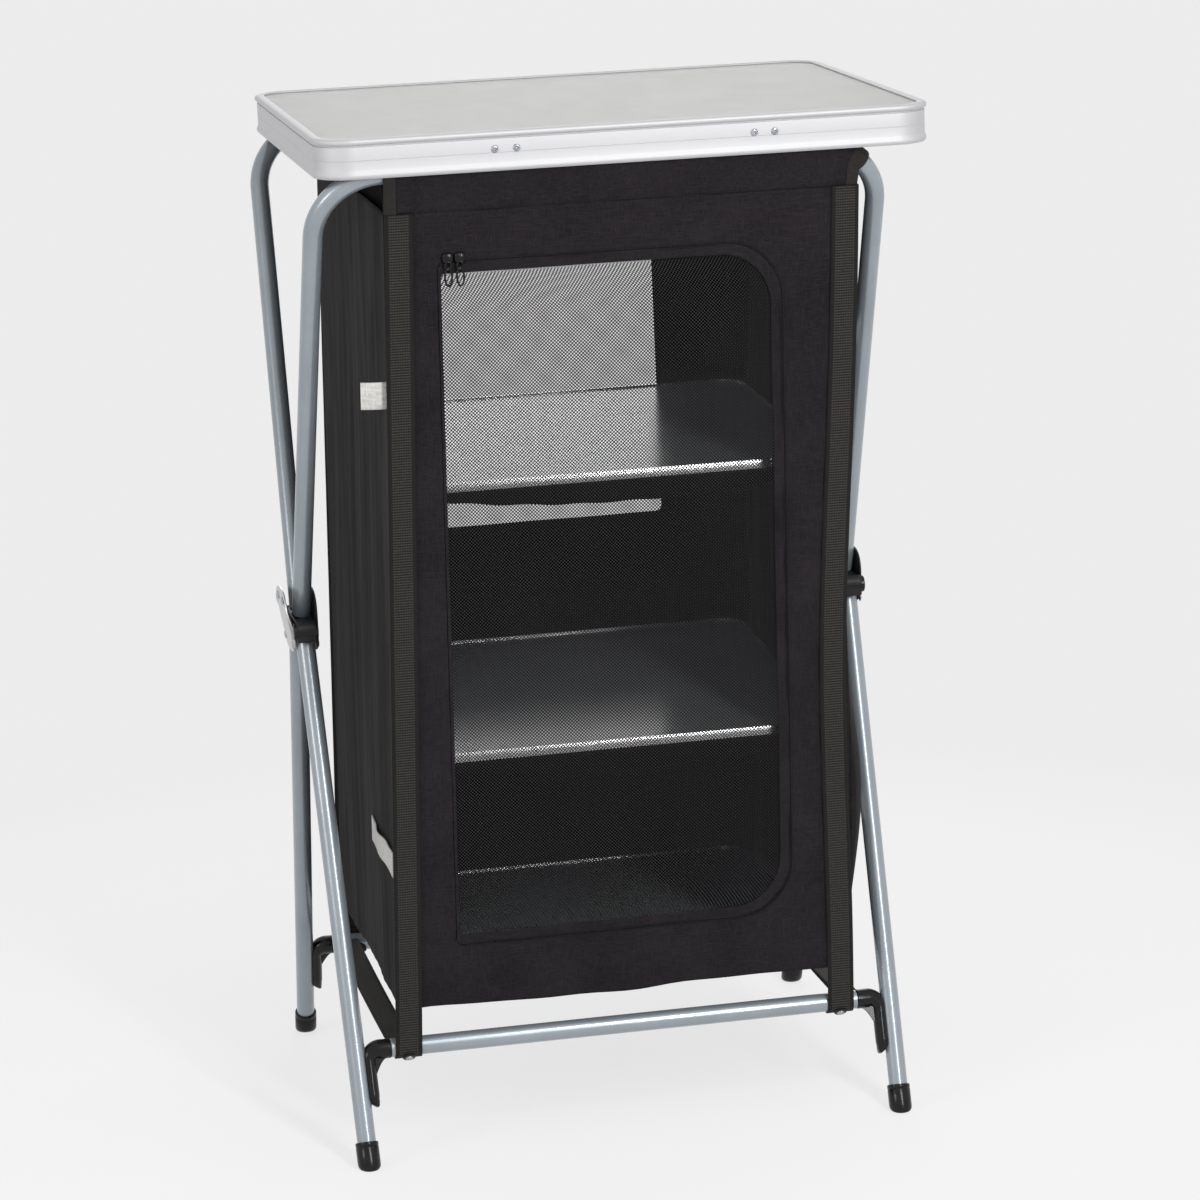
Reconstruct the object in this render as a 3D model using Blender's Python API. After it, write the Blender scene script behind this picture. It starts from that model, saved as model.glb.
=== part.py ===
"""A fabric camp kitchen cupboard: a folding tube frame, a lift-off worktop and a hung fabric cabinet.

Metres, +Z up. X runs across the width, Y from front (minus) to back (plus). Shapes are drawn about the
middle of the frame; the last step moves them sideways, so that the origin lies on the floor under the
middle of the whole part.
"""
import math

import bmesh
import bpy
import numpy as np
from mathutils import Vector

# Driving sizes
worktop_width = 0.600
worktop_depth = 0.460
worktop_height = 1.020
cabinet_half_width = 0.2315
tube_radius = 0.0095

# Worktop
worktop_side_shift = 0.026
worktop_corner_radius = 0.038
panel_thickness = 0.008
panel_drop = 0.0018
clip_half_spacing = 0.125
clip_length = 0.034

# Frame
tube_wall = 0.0012
bar_inset = 0.0165
bar_drop = 0.036
bar_side_room = 0.0423
frame_splay = 0.0092
foot_splay = 0.0082
foot_inset = 0.0072
upper_bend_radius = 0.065
upper_bend_steps = 12
upper_pin_y = 0.0151
lower_pin_y = 0.0261
bracket_height_share = 0.5059
upper_pin_rise = 0.022
lower_pin_drop = 0.022
lower_bar_z = 0.1094
tube_end_beyond_pin = 0.012
leg_end_beyond_pin = 0.009

# Side brackets
plate_half_width = 0.040
plate_half_height = 0.032
plate_roundness = 3.0
plate_thickness = 0.002
plate_side_gap = 0.0012
pin_radius = 0.0033
fit_gap = 0.0003

# Fabric cabinet
cloth_thickness = 0.0016
cabinet_top_drop = 0.038
cabinet_top_reach = 0.003
cabinet_bottom_rise = 0.0406
cabinet_bottom_reach = 0.0102
cabinet_top_centre_x = 0.0205
cabinet_bottom_centre_x = -0.001
webbing_width = 0.025
webbing_thickness = 0.0016

# Shelves
shelf_height_shares = {"upper": 0.6676, "middle": 0.3338, "lower": 0.0276}
shelf_slope_shares = {"upper": 0.041, "middle": 0.068, "lower": 0.0}
shelf_side_room = 0.0185
shelf_end_room = 0.0065
shelf_thickness = 0.006
shelf_edging_height = 0.0094
shelf_edging_thickness = 0.0016
shelf_corner_radius = 0.028
lower_shelf_hinge_inset = 0.013

# Door
door_left_top_inset = 0.0495
door_left_bottom_inset = 0.0618
door_right_inset = 0.0490
door_top_drop = 0.040
door_bottom_rise = 0.056
door_corner_radius = 0.062
door_small_radius = 0.012
door_border = 0.019
door_slit = 0.0006

# Places that follow from these
upper_bar_y = worktop_depth / 2 - bar_inset
upper_bar_z = worktop_height - bar_drop
upper_bar_half_width = cabinet_half_width + bar_side_room
pin_x = upper_bar_half_width + frame_splay
foot_x = pin_x - foot_splay
foot_y = worktop_depth / 2 - foot_inset
bracket_z = worktop_height * bracket_height_share
upper_pin_z = bracket_z + upper_pin_rise
lower_pin_z = bracket_z - lower_pin_drop
lower_bar_share = (lower_pin_z - lower_bar_z) / lower_pin_z
lower_bar_y = lower_pin_y + (foot_y - lower_pin_y) * lower_bar_share
lower_leg_x = pin_x - foot_splay * lower_bar_share
cabinet_top_z = upper_bar_z - cabinet_top_drop
cabinet_bottom_z = lower_bar_z + cabinet_bottom_rise
cabinet_height = cabinet_top_z - cabinet_bottom_z
cabinet_top_y = upper_bar_y + cabinet_top_reach
cabinet_bottom_y = lower_bar_y + cabinet_bottom_reach
shelf_heights = {level: cabinet_bottom_z + cabinet_height * share for level, share in shelf_height_shares.items()}
shelf_half_width = cabinet_half_width - shelf_side_room
shelf_half_depth = cabinet_bottom_y - shelf_end_room
lower_shelf_hinge_y = shelf_half_depth - lower_shelf_hinge_inset
cabinet_left_x = cabinet_top_centre_x - cabinet_half_width
cabinet_right_x = cabinet_bottom_centre_x + cabinet_half_width
door_left_top_x = cabinet_left_x + door_left_top_inset
door_left_bottom_x = cabinet_bottom_centre_x - cabinet_half_width + door_left_bottom_inset
door_right_x = cabinet_right_x - door_right_inset
door_top_z = cabinet_top_z - door_top_drop
door_bottom_z = cabinet_bottom_z + door_bottom_rise


def clear_scene():
    for obj in list(bpy.data.objects):
        bpy.data.objects.remove(obj, do_unlink=True)


def new_collection(name):
    collection = bpy.data.collections.new(name)
    bpy.context.scene.collection.children.link(collection)
    return collection


def paint(name, colour, roughness, metallic=0.0):
    material = bpy.data.materials.new(name)
    material.use_nodes = True
    shader = material.node_tree.nodes["Principled BSDF"]
    shader.inputs["Base Color"].default_value = (*colour, 1.0)
    shader.inputs["Roughness"].default_value = roughness
    shader.inputs["Metallic"].default_value = metallic
    return material


finishes = {
    "frame": ((0.33, 0.38, 0.40), 0.35, 0.4),
    "plastic": ((0.02, 0.02, 0.02), 0.4, 0.0),
    "rubber": ((0.015, 0.015, 0.015), 0.5, 0.0),
    "steel": ((0.62, 0.62, 0.62), 0.3, 1.0),
    "aluminium": ((0.80, 0.80, 0.80), 0.3, 1.0),
    "laminate": ((0.66, 0.67, 0.64), 0.55, 0.0),
    "cloth": ((0.030, 0.026, 0.028), 0.9, 0.0),
    "net": ((0.02, 0.02, 0.02), 0.9, 0.0),
    "webbing": ((0.018, 0.016, 0.015), 0.85, 0.0),
    "board": ((0.040, 0.048, 0.052), 0.2, 0.0),
    "edging": ((0.62, 0.63, 0.63), 0.35, 0.6),
    "felt": ((0.55, 0.54, 0.52), 0.9, 0.0),
    "zip_metal": ((0.05, 0.05, 0.05), 0.35, 0.8),
}


def add_mesh(name, verts, faces, finish):
    mesh = bpy.data.meshes.new(name)
    mesh.from_pydata([tuple(map(float, v)) for v in verts], [], [list(map(int, f)) for f in faces])
    shell = bmesh.new()
    shell.from_mesh(mesh)
    bmesh.ops.recalc_face_normals(shell, faces=shell.faces)
    shell.to_mesh(mesh)
    shell.free()
    obj = bpy.data.objects.new(name, mesh)
    if finish is None:
        obj.hide_render = True
        obj.display_type = "WIRE"
        cutters.objects.link(obj)
    else:
        mesh.materials.append(paint(name, *finishes[finish]))
        parts.objects.link(obj)
    return obj


def boolean(obj, other, operation):
    modifier = obj.modifiers.new(operation.lower() + "_" + other.name, "BOOLEAN")
    modifier.operation = operation
    modifier.solver = "EXACT"
    modifier.object = other


def ring_frames(points, closed=False):
    """Positions with two unit vectors across the path, carried along without twist."""
    points = [Vector(p) for p in points]
    count = len(points)
    tangents = []
    for i in range(count):
        before = points[(i - 1) % count] if closed or i > 0 else points[i]
        after = points[(i + 1) % count] if closed or i < count - 1 else points[i]
        tangents.append((after - before).normalized())
    side = tangents[0].orthogonal().normalized()
    frames = []
    for point, tangent in zip(points, tangents):
        side = (side - tangent * side.dot(tangent)).normalized()
        frames.append((point, side, tangent.cross(side).normalized()))
    return frames


def hollow_tube(name, points, finish, outer=None, inner=None, sides=14):
    """A tube with open ends along a path: outer wall, inner wall and two end rings."""
    outer = tube_radius if outer is None else outer
    inner = outer - tube_wall if inner is None else inner
    verts = []
    for radius in (outer, inner):
        for point, side, up in ring_frames(points):
            for k in range(sides):
                angle = 2 * math.pi * k / sides
                verts.append(point + (side * math.cos(angle) + up * math.sin(angle)) * radius)
    rings = len(points)
    faces = []
    for wall in range(2):
        base = wall * rings * sides
        for i in range(rings - 1):
            for k in range(sides):
                a = base + i * sides + k
                b = base + i * sides + (k + 1) % sides
                quad = (a, b, b + sides, a + sides)
                faces.append(quad if wall == 0 else quad[::-1])
    shift = rings * sides
    for ring in (0, rings - 1):
        for k in range(sides):
            a = ring * sides + k
            b = ring * sides + (k + 1) % sides
            quad = (a, b, b + shift, a + shift)
            faces.append(quad[::-1] if ring == 0 else quad)
    return add_mesh(name, verts, faces, finish)


def rod(name, start, end, radius, finish, sides=24, end_radius=None):
    """A solid round bar between two points."""
    end_radius = radius if end_radius is None else end_radius
    frames = ring_frames([start, end])
    verts = []
    for (point, side, up), size in zip(frames, (radius, end_radius)):
        for k in range(sides):
            angle = 2 * math.pi * k / sides
            verts.append(point + (side * math.cos(angle) + up * math.sin(angle)) * size)
    faces = [(k, (k + 1) % sides, sides + (k + 1) % sides, sides + k) for k in range(sides)]
    faces.append(tuple(reversed(range(sides))))
    faces.append(tuple(range(sides, 2 * sides)))
    return add_mesh(name, verts, faces, finish)


def box(name, low, high, finish):
    """A box from its low corner to its high corner."""
    xs, ys, zs = zip(low, high)
    verts = [(x, y, z) for x in sorted(xs) for y in sorted(ys) for z in sorted(zs)]
    faces = [(0, 1, 3, 2), (4, 6, 7, 5), (0, 4, 5, 1), (2, 3, 7, 6), (0, 2, 6, 4), (1, 5, 7, 3)]
    return add_mesh(name, verts, faces, finish)


def prism(name, outline, place, low, high, finish):
    """A flat outline drawn in two coordinates and given depth between low and high along the third."""
    outline = list(outline)
    count = len(outline)
    verts = [place(a, b, low) for a, b in outline] + [place(a, b, high) for a, b in outline]
    faces = [tuple(range(count)), tuple(reversed(range(count, 2 * count)))]
    faces += [(k, count + k, count + (k + 1) % count, (k + 1) % count) for k in range(count)]
    return add_mesh(name, verts, faces, finish)


def rounded_corners(points, radii, segments=8):
    """A path through points whose inner corners are rounded to the given radii."""
    points = [Vector(p) for p in points]
    path = [points[0]]
    for before, corner, after, radius in zip(points, points[1:], points[2:], radii):
        to_before = (before - corner).normalized()
        to_after = (after - corner).normalized()
        half = to_before.angle(to_after) / 2
        reach = radius / math.tan(half)
        centre = corner + (to_before + to_after).normalized() * (radius / math.sin(half))
        start = corner + to_before * reach - centre
        end = corner + to_after * reach - centre
        turn = start.angle(end)
        for k in range(segments + 1):
            share = k / segments
            point = (start * math.sin((1 - share) * turn) + end * math.sin(share * turn)) / math.sin(turn)
            path.append(centre + point)
    path.append(points[-1])
    return path


def rounded_outline(low, high, radii, segments=8):
    """A rectangle in two coordinates with its own radius at each corner, drawn counter-clockwise.

    The radii are in the order low-low, high-low, high-high, low-high.
    """
    corners = [(low[0], low[1]), (high[0], low[1]), (high[0], high[1]), (low[0], high[1])]
    inward = [(1, 1), (-1, 1), (-1, -1), (1, -1)]
    outline = []
    for index, ((x, y), (sx, sy), radius) in enumerate(zip(corners, inward, radii)):
        start = math.pi + index * math.pi / 2
        for k in range(segments + 1):
            angle = start + k * math.pi / 2 / segments
            outline.append((x + sx * radius + radius * math.cos(angle), y + sy * radius + radius * math.sin(angle)))
    return outline


def loft_rings(name, rings, finish):
    """A closed body, endless both ways, from rings of equal count."""
    count = len(rings)
    size = len(rings[0])
    verts = [v for ring in rings for v in ring]
    faces = []
    for i in range(count):
        j = (i + 1) % count
        for k in range(size):
            m = (k + 1) % size
            faces.append((i * size + k, i * size + m, j * size + m, j * size + k))
    return add_mesh(name, verts, faces, finish)


def cloth_sheet(name, grid, offset, finish, keep=None):
    """A sheet of cloth with thickness: a grid of points moved both ways along an offset grid.

    keep tells for each cell whether it is cloth; cells left out make a window with closed edges.
    """
    grid = np.asarray(grid, float)
    offset = np.asarray(offset, float)
    rows, columns = grid.shape[:2]
    keep = np.ones((rows - 1, columns - 1), bool) if keep is None else keep
    front = (grid + offset).reshape(-1, 3)
    back = (grid - offset).reshape(-1, 3)
    half = rows * columns
    faces = []
    for i in range(rows - 1):
        for j in range(columns - 1):
            if not keep[i, j]:
                continue
            a = i * columns + j
            b = a + 1
            c = a + columns + 1
            d = a + columns
            faces.append((a, b, c, d))
            faces.append((half + d, half + c, half + b, half + a))
            for (p, q), (ni, nj) in (((a, b), (i - 1, j)), ((b, c), (i, j + 1)), ((c, d), (i + 1, j)), ((d, a), (i, j - 1))):
                inside = 0 <= ni < rows - 1 and 0 <= nj < columns - 1
                if not (inside and keep[ni, nj]):
                    faces.append((q, p, half + p, half + q))
    verts = np.concatenate([front, back])
    used = sorted({k for face in faces for k in face})
    order = {k: n for n, k in enumerate(used)}
    faces = [tuple(order[k] for k in face) for face in faces]
    return add_mesh(name, verts[used], faces, finish)


def strip(name, path, across, thickness, width, finish):
    """A flat webbing strip: its middle line, the direction across it, its thickness and width."""
    path = [Vector(p) for p in path]
    across = Vector(across).normalized()
    verts = []
    last = len(path) - 1
    for i, point in enumerate(path):
        tangent = (path[min(i + 1, last)] - path[max(i - 1, 0)]).normalized()
        normal = tangent.cross(across).normalized()
        for a, n in ((-1, -1), (1, -1), (1, 1), (-1, 1)):
            verts.append(point + across * (a * width / 2) + normal * (n * thickness / 2))
    faces = []
    for i in range(last):
        for k in range(4):
            m = (k + 1) % 4
            faces.append((4 * i + k, 4 * i + 4 + k, 4 * i + 4 + m, 4 * i + m))
    faces.append((0, 1, 2, 3))
    faces.append((4 * last + 3, 4 * last + 2, 4 * last + 1, 4 * last))
    return add_mesh(name, verts, faces, finish)


def arc(centre, radius, start, end, steps, x=0.0):
    """Points on an arc in the Y-Z plane; angles in degrees from +Y towards +Z."""
    points = []
    for k in range(steps + 1):
        angle = math.radians(start + (end - start) * k / steps)
        points.append((x, centre[0] + radius * math.cos(angle), centre[1] + radius * math.sin(angle)))
    return points


# Shared places

def cabinet_share(z):
    return (cabinet_top_z - z) / (cabinet_top_z - cabinet_bottom_z)


def cabinet_centre_x(z):
    return cabinet_top_centre_x + (cabinet_bottom_centre_x - cabinet_top_centre_x) * cabinet_share(z)


def cabinet_half_depth(z):
    return cabinet_top_y + (cabinet_bottom_y - cabinet_top_y) * cabinet_share(z)


def leg_point(side, end, z):
    """A point on a lower leg's axis; side is the sign in X, end the sign in Y."""
    share = (lower_pin_z - z) / lower_pin_z
    return Vector((side * (pin_x + (foot_x - pin_x) * share), end * (lower_pin_y + (foot_y - lower_pin_y) * share), z))


def name_side(side):
    return "right" if side > 0 else "left"


def name_end(end):
    return "back" if end > 0 else "front"


# Worktop

worktop_edge_drop = 0.0370
rim_cover = 0.0095
ledge_reach = 0.0110
edge_wall_outer = 0.0020
edge_wall_inner = 0.0038
slot_depth = 0.0040
bead_height = 0.0088


def worktop_edge():
    """The silver edge extrusion: bead, groove, flat band, flared lip and an inner slot for the panel."""
    slot_top = panel_drop - fit_gap
    slot_bottom = panel_drop + panel_thickness + fit_gap
    ledge_thickness = 0.0014
    profile = [
        (0.0034, 0.0000), (0.0012, -0.0011), (0.0000, -0.0034), (0.0000, -0.0062), (0.0012, -bead_height),
        (0.0030, -0.0096), (0.0030, -0.0103), (edge_wall_outer, -0.0110), (edge_wall_outer, -0.0300),
        (0.0010, -0.0325), (0.0004, -0.0345), (0.0008, -0.0363), (0.0022, -worktop_edge_drop),
        (edge_wall_inner, -0.0364), (edge_wall_inner, -slot_bottom - ledge_thickness),
        (ledge_reach, -slot_bottom - ledge_thickness), (ledge_reach, -slot_bottom), (slot_depth, -slot_bottom),
        (slot_depth, -slot_top), (rim_cover, -slot_top), (rim_cover, -0.0004), (0.0088, 0.0000),
    ]
    rings = []
    for inset, drop in profile:
        low = (-worktop_width / 2 + inset, -worktop_depth / 2 + inset)
        high = (worktop_width / 2 - inset, worktop_depth / 2 - inset)
        outline = rounded_outline(low, high, [worktop_corner_radius - inset] * 4, 6)
        rings.append([(x + worktop_side_shift, y, worktop_height + drop) for x, y in outline])
    return loft_rings("worktop_edge", rings, "aluminium")


def worktop_panel():
    inset = slot_depth + fit_gap
    low = (-worktop_width / 2 + inset, -worktop_depth / 2 + inset)
    high = (worktop_width / 2 - inset, worktop_depth / 2 - inset)
    outline = rounded_outline(low, high, [worktop_corner_radius - inset] * 4, 6)
    top = worktop_height - panel_drop

    def place(a, b, depth):
        return (a + worktop_side_shift, b, depth)

    return prism("worktop_panel", outline, place, top - panel_thickness, top, "laminate")


clip_inner_reach = 0.0145
clip_inner_y = upper_bar_y - clip_inner_reach
clip_outer_leg = 0.0017
sleeve_thickness = 0.0015
saddle_radius = tube_radius + sleeve_thickness + 4 * fit_gap


def worktop_clip(side, end):
    """A moulded clip behind the edge that saddles the sleeved top bar."""
    centre_x = worktop_side_shift + side * clip_half_spacing
    low_x = centre_x - clip_length / 2
    high_x = centre_x + clip_length / 2
    outer_y = worktop_depth / 2 - edge_wall_inner - fit_gap
    top_z = worktop_height - panel_drop - panel_thickness - 2 * fit_gap - 0.0014
    inner_bottom = upper_bar_z + saddle_radius * math.sin(math.radians(48))
    outline = [
        (outer_y, top_z), (outer_y, upper_bar_z), (outer_y - clip_outer_leg, upper_bar_z),
        (outer_y - clip_outer_leg, inner_bottom), (clip_inner_y, inner_bottom), (clip_inner_y, top_z),
    ]

    def place(a, b, depth):
        return (depth, end * a, b)

    name = "worktop_clip_" + name_end(end) + "_" + name_side(side)
    clip = prism(name, outline, place, low_x, high_x, "plastic")
    bar_middle = Vector((centre_x, end * upper_bar_y, upper_bar_z))
    reach = Vector((clip_length, 0, 0))
    cutter = rod("cut_" + name, bar_middle - reach, bar_middle + reach, saddle_radius, None, 32)
    boolean(clip, cutter, "DIFFERENCE")
    return clip


# Frame

def upper_frame(end):
    """One bent tube: up from the left bracket, across the top and down to the right bracket."""
    corner = Vector((upper_bar_half_width, end * upper_bar_y, upper_bar_z))
    pin = Vector((pin_x, end * upper_pin_y, upper_pin_z))
    tip = pin + (pin - corner).normalized() * tube_end_beyond_pin
    mirror = Vector((-1, 1, 1))
    points = [tip * mirror, corner * mirror, corner, tip]
    path = rounded_corners(points, [upper_bend_radius] * 2, upper_bend_steps)
    tube = hollow_tube("upper_" + name_end(end) + "_tube", path, "frame")
    drill_pin(tube, end * upper_pin_y, upper_pin_z)
    return tube


def drill_pin(tube, y, z):
    reach = pin_x + 2 * tube_radius
    name = "cut_pin_" + tube.name
    cutter = rod(name, (-reach, y, z), (reach, y, z), pin_radius + fit_gap, None, 12)
    boolean(tube, cutter, "DIFFERENCE")


leg_end_above_floor = 0.0045
foot_cap_radius = 0.0116
foot_cap_height = 0.0270


def lower_leg(side, end):
    pin = leg_point(side, end, lower_pin_z)
    foot = leg_point(side, end, 0)
    along = (pin - foot).normalized()
    top = pin + along * leg_end_beyond_pin
    bottom = foot + along * leg_end_above_floor
    name = "lower_" + name_end(end) + "_leg_" + name_side(side)
    tube = hollow_tube(name, [bottom, top], "frame")
    drill_pin(tube, end * lower_pin_y, lower_pin_z)
    return tube


def foot_cap(side, end):
    """A rubber cup over the leg's end, cut level with the floor."""
    foot = leg_point(side, end, 0)
    along = (leg_point(side, end, lower_pin_z) - foot).normalized()
    low = foot - along * foot_cap_radius
    high = foot + along * foot_cap_height
    name = "foot_" + name_end(end) + "_" + name_side(side)
    cap = rod(name, low, high, foot_cap_radius, "rubber", 20)
    bore = rod("cut_bore_" + name, foot + along * (leg_end_above_floor - fit_gap), high + along * tube_radius,
               tube_radius + fit_gap, None, 20)
    floor = box("cut_floor_" + name, foot - Vector((0.05, 0.05, 0.05)), foot + Vector((0.05, 0.05, 0)), None)
    boolean(cap, bore, "DIFFERENCE")
    boolean(cap, floor, "DIFFERENCE")
    return cap


elbow_arm_radius = tube_radius + 0.0004
elbow_arm_reach = 0.0351
elbow_bend_radius = 0.0105
elbow_bend_steps = 4
elbow_plug_length = 0.0140
elbow_plug_radius = tube_radius - tube_wall - 2 * fit_gap
elbow_saddle_place = 0.0120
elbow_saddle_half_height = 0.0068
elbow_saddle_half_width = 0.0088
elbow_saddle_length = 0.0480
elbow_tip_length = 0.0560
elbow_tip_half_height = 0.0026
elbow_tip_width_share = 0.7
elbow_web_thickness = 0.006
elbow_web_length = 0.0330
elbow_inner_x = lower_leg_x - elbow_arm_reach
bar_end_x = elbow_inner_x - fit_gap


def lower_bar(end):
    """The lower cross tube between two elbows."""
    y = leg_point(1, end, lower_bar_z).y
    ends = [(-bar_end_x, y, lower_bar_z), (bar_end_x, y, lower_bar_z)]
    return hollow_tube("lower_" + name_end(end) + "_bar", ends, "frame")


def elbow_stations():
    """Places along the elbow's middle, in and down from the leg, each with its half height and half width."""
    bend_x = elbow_saddle_place + elbow_bend_radius
    stations = [(elbow_arm_reach, 0, elbow_arm_radius, elbow_arm_radius),
                (bend_x, 0, elbow_arm_radius, elbow_arm_radius)]
    for step in range(1, elbow_bend_steps + 1):
        share = step / elbow_bend_steps
        angle = math.pi / 2 * (1 + share)
        stations.append((bend_x + elbow_bend_radius * math.cos(angle),
                         elbow_bend_radius * (math.sin(angle) - 1),
                         elbow_arm_radius + (elbow_saddle_half_height - elbow_arm_radius) * share,
                         elbow_arm_radius + (elbow_saddle_half_width - elbow_arm_radius) * share))
    stations.append((elbow_saddle_place, -elbow_saddle_length, elbow_saddle_half_height, elbow_saddle_half_width))
    tip_place = elbow_saddle_place + elbow_saddle_half_height - elbow_tip_half_height
    stations.append((tip_place, -elbow_tip_length, elbow_tip_half_height, elbow_saddle_half_width * elbow_tip_width_share))
    return stations


def elbow(side, end, sides=12):
    """A moulded corner: an arm plugged into the cross tube bends down into a saddle on the leg, with a web."""
    name = "elbow_" + name_end(end) + "_" + name_side(side)
    middle = leg_point(side, end, lower_bar_z)
    along = (leg_point(side, end, lower_pin_z) - leg_point(side, end, 0)).normalized()
    inward = Vector((-side, 0, 0))
    across = along.cross(inward).normalized()

    def place(a, b, depth):
        return middle + inward * a + along * b + across * depth

    stations = elbow_stations()
    verts = []
    for index, (a, b, half_height, half_width) in enumerate(stations):
        before = stations[max(index - 1, 0)]
        after = stations[min(index + 1, len(stations) - 1)]
        turn = math.atan2(after[1] - before[1], after[0] - before[0])
        for k in range(sides):
            angle = 2 * math.pi * k / sides
            rise = half_height * math.cos(angle)
            verts.append(place(a - rise * math.sin(turn), b + rise * math.cos(turn), half_width * math.sin(angle)))
    count = len(stations)
    faces = [(i * sides + k, i * sides + (k + 1) % sides, (i + 1) * sides + (k + 1) % sides, (i + 1) * sides + k)
             for i in range(count - 1) for k in range(sides)]
    faces += [tuple(range(sides)), tuple(range((count - 1) * sides, count * sides))]
    body = add_mesh(name, verts, faces, "plastic")
    web_outline = [(elbow_saddle_place, -elbow_arm_radius / 2), (elbow_arm_reach - fit_gap, -elbow_arm_radius / 2),
                   (elbow_arm_reach - fit_gap, -elbow_arm_radius - fit_gap),
                   (elbow_saddle_place + elbow_saddle_half_height, -elbow_web_length),
                   (elbow_saddle_place, -elbow_web_length)]
    web = prism("add_web_" + name, web_outline, place, -elbow_web_thickness / 2, elbow_web_thickness / 2, None)
    plug = rod("add_plug_" + name, middle + inward * (elbow_arm_reach - tube_radius / 2),
               middle + inward * (elbow_arm_reach + elbow_plug_length), elbow_plug_radius, None, 12)
    boolean(body, web, "UNION")
    boolean(body, plug, "UNION")
    leg_cut = rod("cut_leg_" + name, middle - along * 0.08, middle + along * 0.05, tube_radius + fit_gap, None, 24)
    boolean(body, leg_cut, "DIFFERENCE")
    return body


# Side brackets

outer_plate_x = pin_x + tube_radius + plate_side_gap
inner_plate_x = pin_x - tube_radius - plate_side_gap


def leaf_outline(steps=28):
    """A plate outline between an ellipse and a rectangle."""
    outline = []
    for k in range(steps):
        angle = 2 * math.pi * k / steps
        c, s = math.cos(angle), math.sin(angle)
        y = math.copysign(abs(c) ** (2 / plate_roundness), c) * plate_half_width
        z = math.copysign(abs(s) ** (2 / plate_roundness), s) * plate_half_height
        outline.append((y, bracket_z + z))
    return outline


pin_places = [(end * y, z) for y, z in ((upper_pin_y, upper_pin_z), (lower_pin_y, lower_pin_z)) for end in (-1, 1)]
pin_head_radius = 0.0052
pin_head_height = 0.0012
pin_tail = 0.0008


def outer_plate(side):
    """The bright outer plate with its four riveted pins."""

    def place(a, b, depth):
        return (side * depth, a, b)

    name = "bracket_outer_" + name_side(side)
    plate = prism(name, leaf_outline(), place, outer_plate_x, outer_plate_x + plate_thickness, "steel")
    for index, (y, z) in enumerate(pin_places):
        outside = outer_plate_x + plate_thickness
        label = name + "_" + str(index)
        shank = rod("add_pin_" + label, (side * (outside - plate_thickness / 2), y, z),
                    (side * (inner_plate_x - plate_thickness - pin_tail), y, z), pin_radius, None, 12)
        head = rod("add_head_" + label, (side * (outside - plate_thickness / 2), y, z),
                   (side * (outside + pin_head_height), y, z), pin_head_radius, None, 12)
        boolean(plate, shank, "UNION")
        boolean(plate, head, "UNION")
    return plate


def inner_plate(side):
    """The dark inner plate, drilled for the pins."""

    def place(a, b, depth):
        return (side * depth, a, b)

    name = "bracket_inner_" + name_side(side)
    plate = prism(name, leaf_outline(), place, inner_plate_x - plate_thickness, inner_plate_x, "plastic")
    for index, (y, z) in enumerate(pin_places):
        cutter = rod("cut_" + name + "_" + str(index), (side * (inner_plate_x + plate_thickness), y, z),
                     (side * (inner_plate_x - 2 * plate_thickness), y, z), pin_radius + fit_gap, None, 12)
        boolean(plate, cutter, "DIFFERENCE")
    return plate


hub_bar_low = bracket_z - 0.0092
hub_bar_high = bracket_z + 0.0032
boss_y = 0.0385
boss_z = bracket_z - 0.0035
boss_radius = 0.0080
hub_stop_outer_y = 0.0455
hub_stop_inner_y = 0.0290
hub_stop_low = lower_pin_z + 0.0055


def hub(side):
    """The moulded spacer between the plates: a level bar, two round bosses and two leg stops."""
    low_x = side * (inner_plate_x + fit_gap)
    high_x = side * (outer_plate_x - fit_gap)
    name = "bracket_hub_" + name_side(side)
    body = box(name, (low_x, -boss_y, hub_bar_low), (high_x, boss_y, hub_bar_high), "plastic")
    sweeps = {"upper": math.hypot(tube_end_beyond_pin, tube_radius) + 0.0008,
              "lower": math.hypot(leg_end_beyond_pin, tube_radius) + 0.0008}
    for end in (-1, 1):
        label = name + "_" + name_end(end)
        boss = rod("add_boss_" + label, (low_x, end * boss_y, boss_z), (high_x, end * boss_y, boss_z), boss_radius,
                   None, 20)
        stop = box("add_stop_" + label, (low_x, end * hub_stop_inner_y, hub_stop_low),
                   (high_x, end * hub_stop_outer_y, boss_z), None)
        boolean(body, boss, "UNION")
        boolean(body, stop, "UNION")
    for end in (-1, 1):
        label = name + "_" + name_end(end)
        for part, y, z in (("upper", upper_pin_y, upper_pin_z), ("lower", lower_pin_y, lower_pin_z)):
            turn = rod("cut_" + part + "_" + label, (low_x - side * 0.01, end * y, z),
                       (high_x + side * 0.01, end * y, z), sweeps[part], None, 32)
            boolean(body, turn, "DIFFERENCE")
        pin = leg_point(side, end, lower_pin_z)
        foot = leg_point(side, end, 0)
        along = (pin - foot).normalized()
        leg_cut = rod("cut_leg_" + label, pin - along * 0.08, pin + along * leg_end_beyond_pin,
                      tube_radius + 2 * fit_gap, None, 24)
        boolean(body, leg_cut, "DIFFERENCE")
    return body


# Fabric cabinet

wall_fold_depth = 0.0035
window_low_share = 0.505
window_high_share = 0.923
window_left_inset = 0.0930
window_right_inset = 0.1120
window_low_z = cabinet_bottom_z + cabinet_height * window_low_share
window_high_z = cabinet_bottom_z + cabinet_height * window_high_share
window_left_x = cabinet_left_x + window_left_inset
window_right_x = cabinet_top_centre_x + cabinet_half_width - window_right_inset


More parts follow.
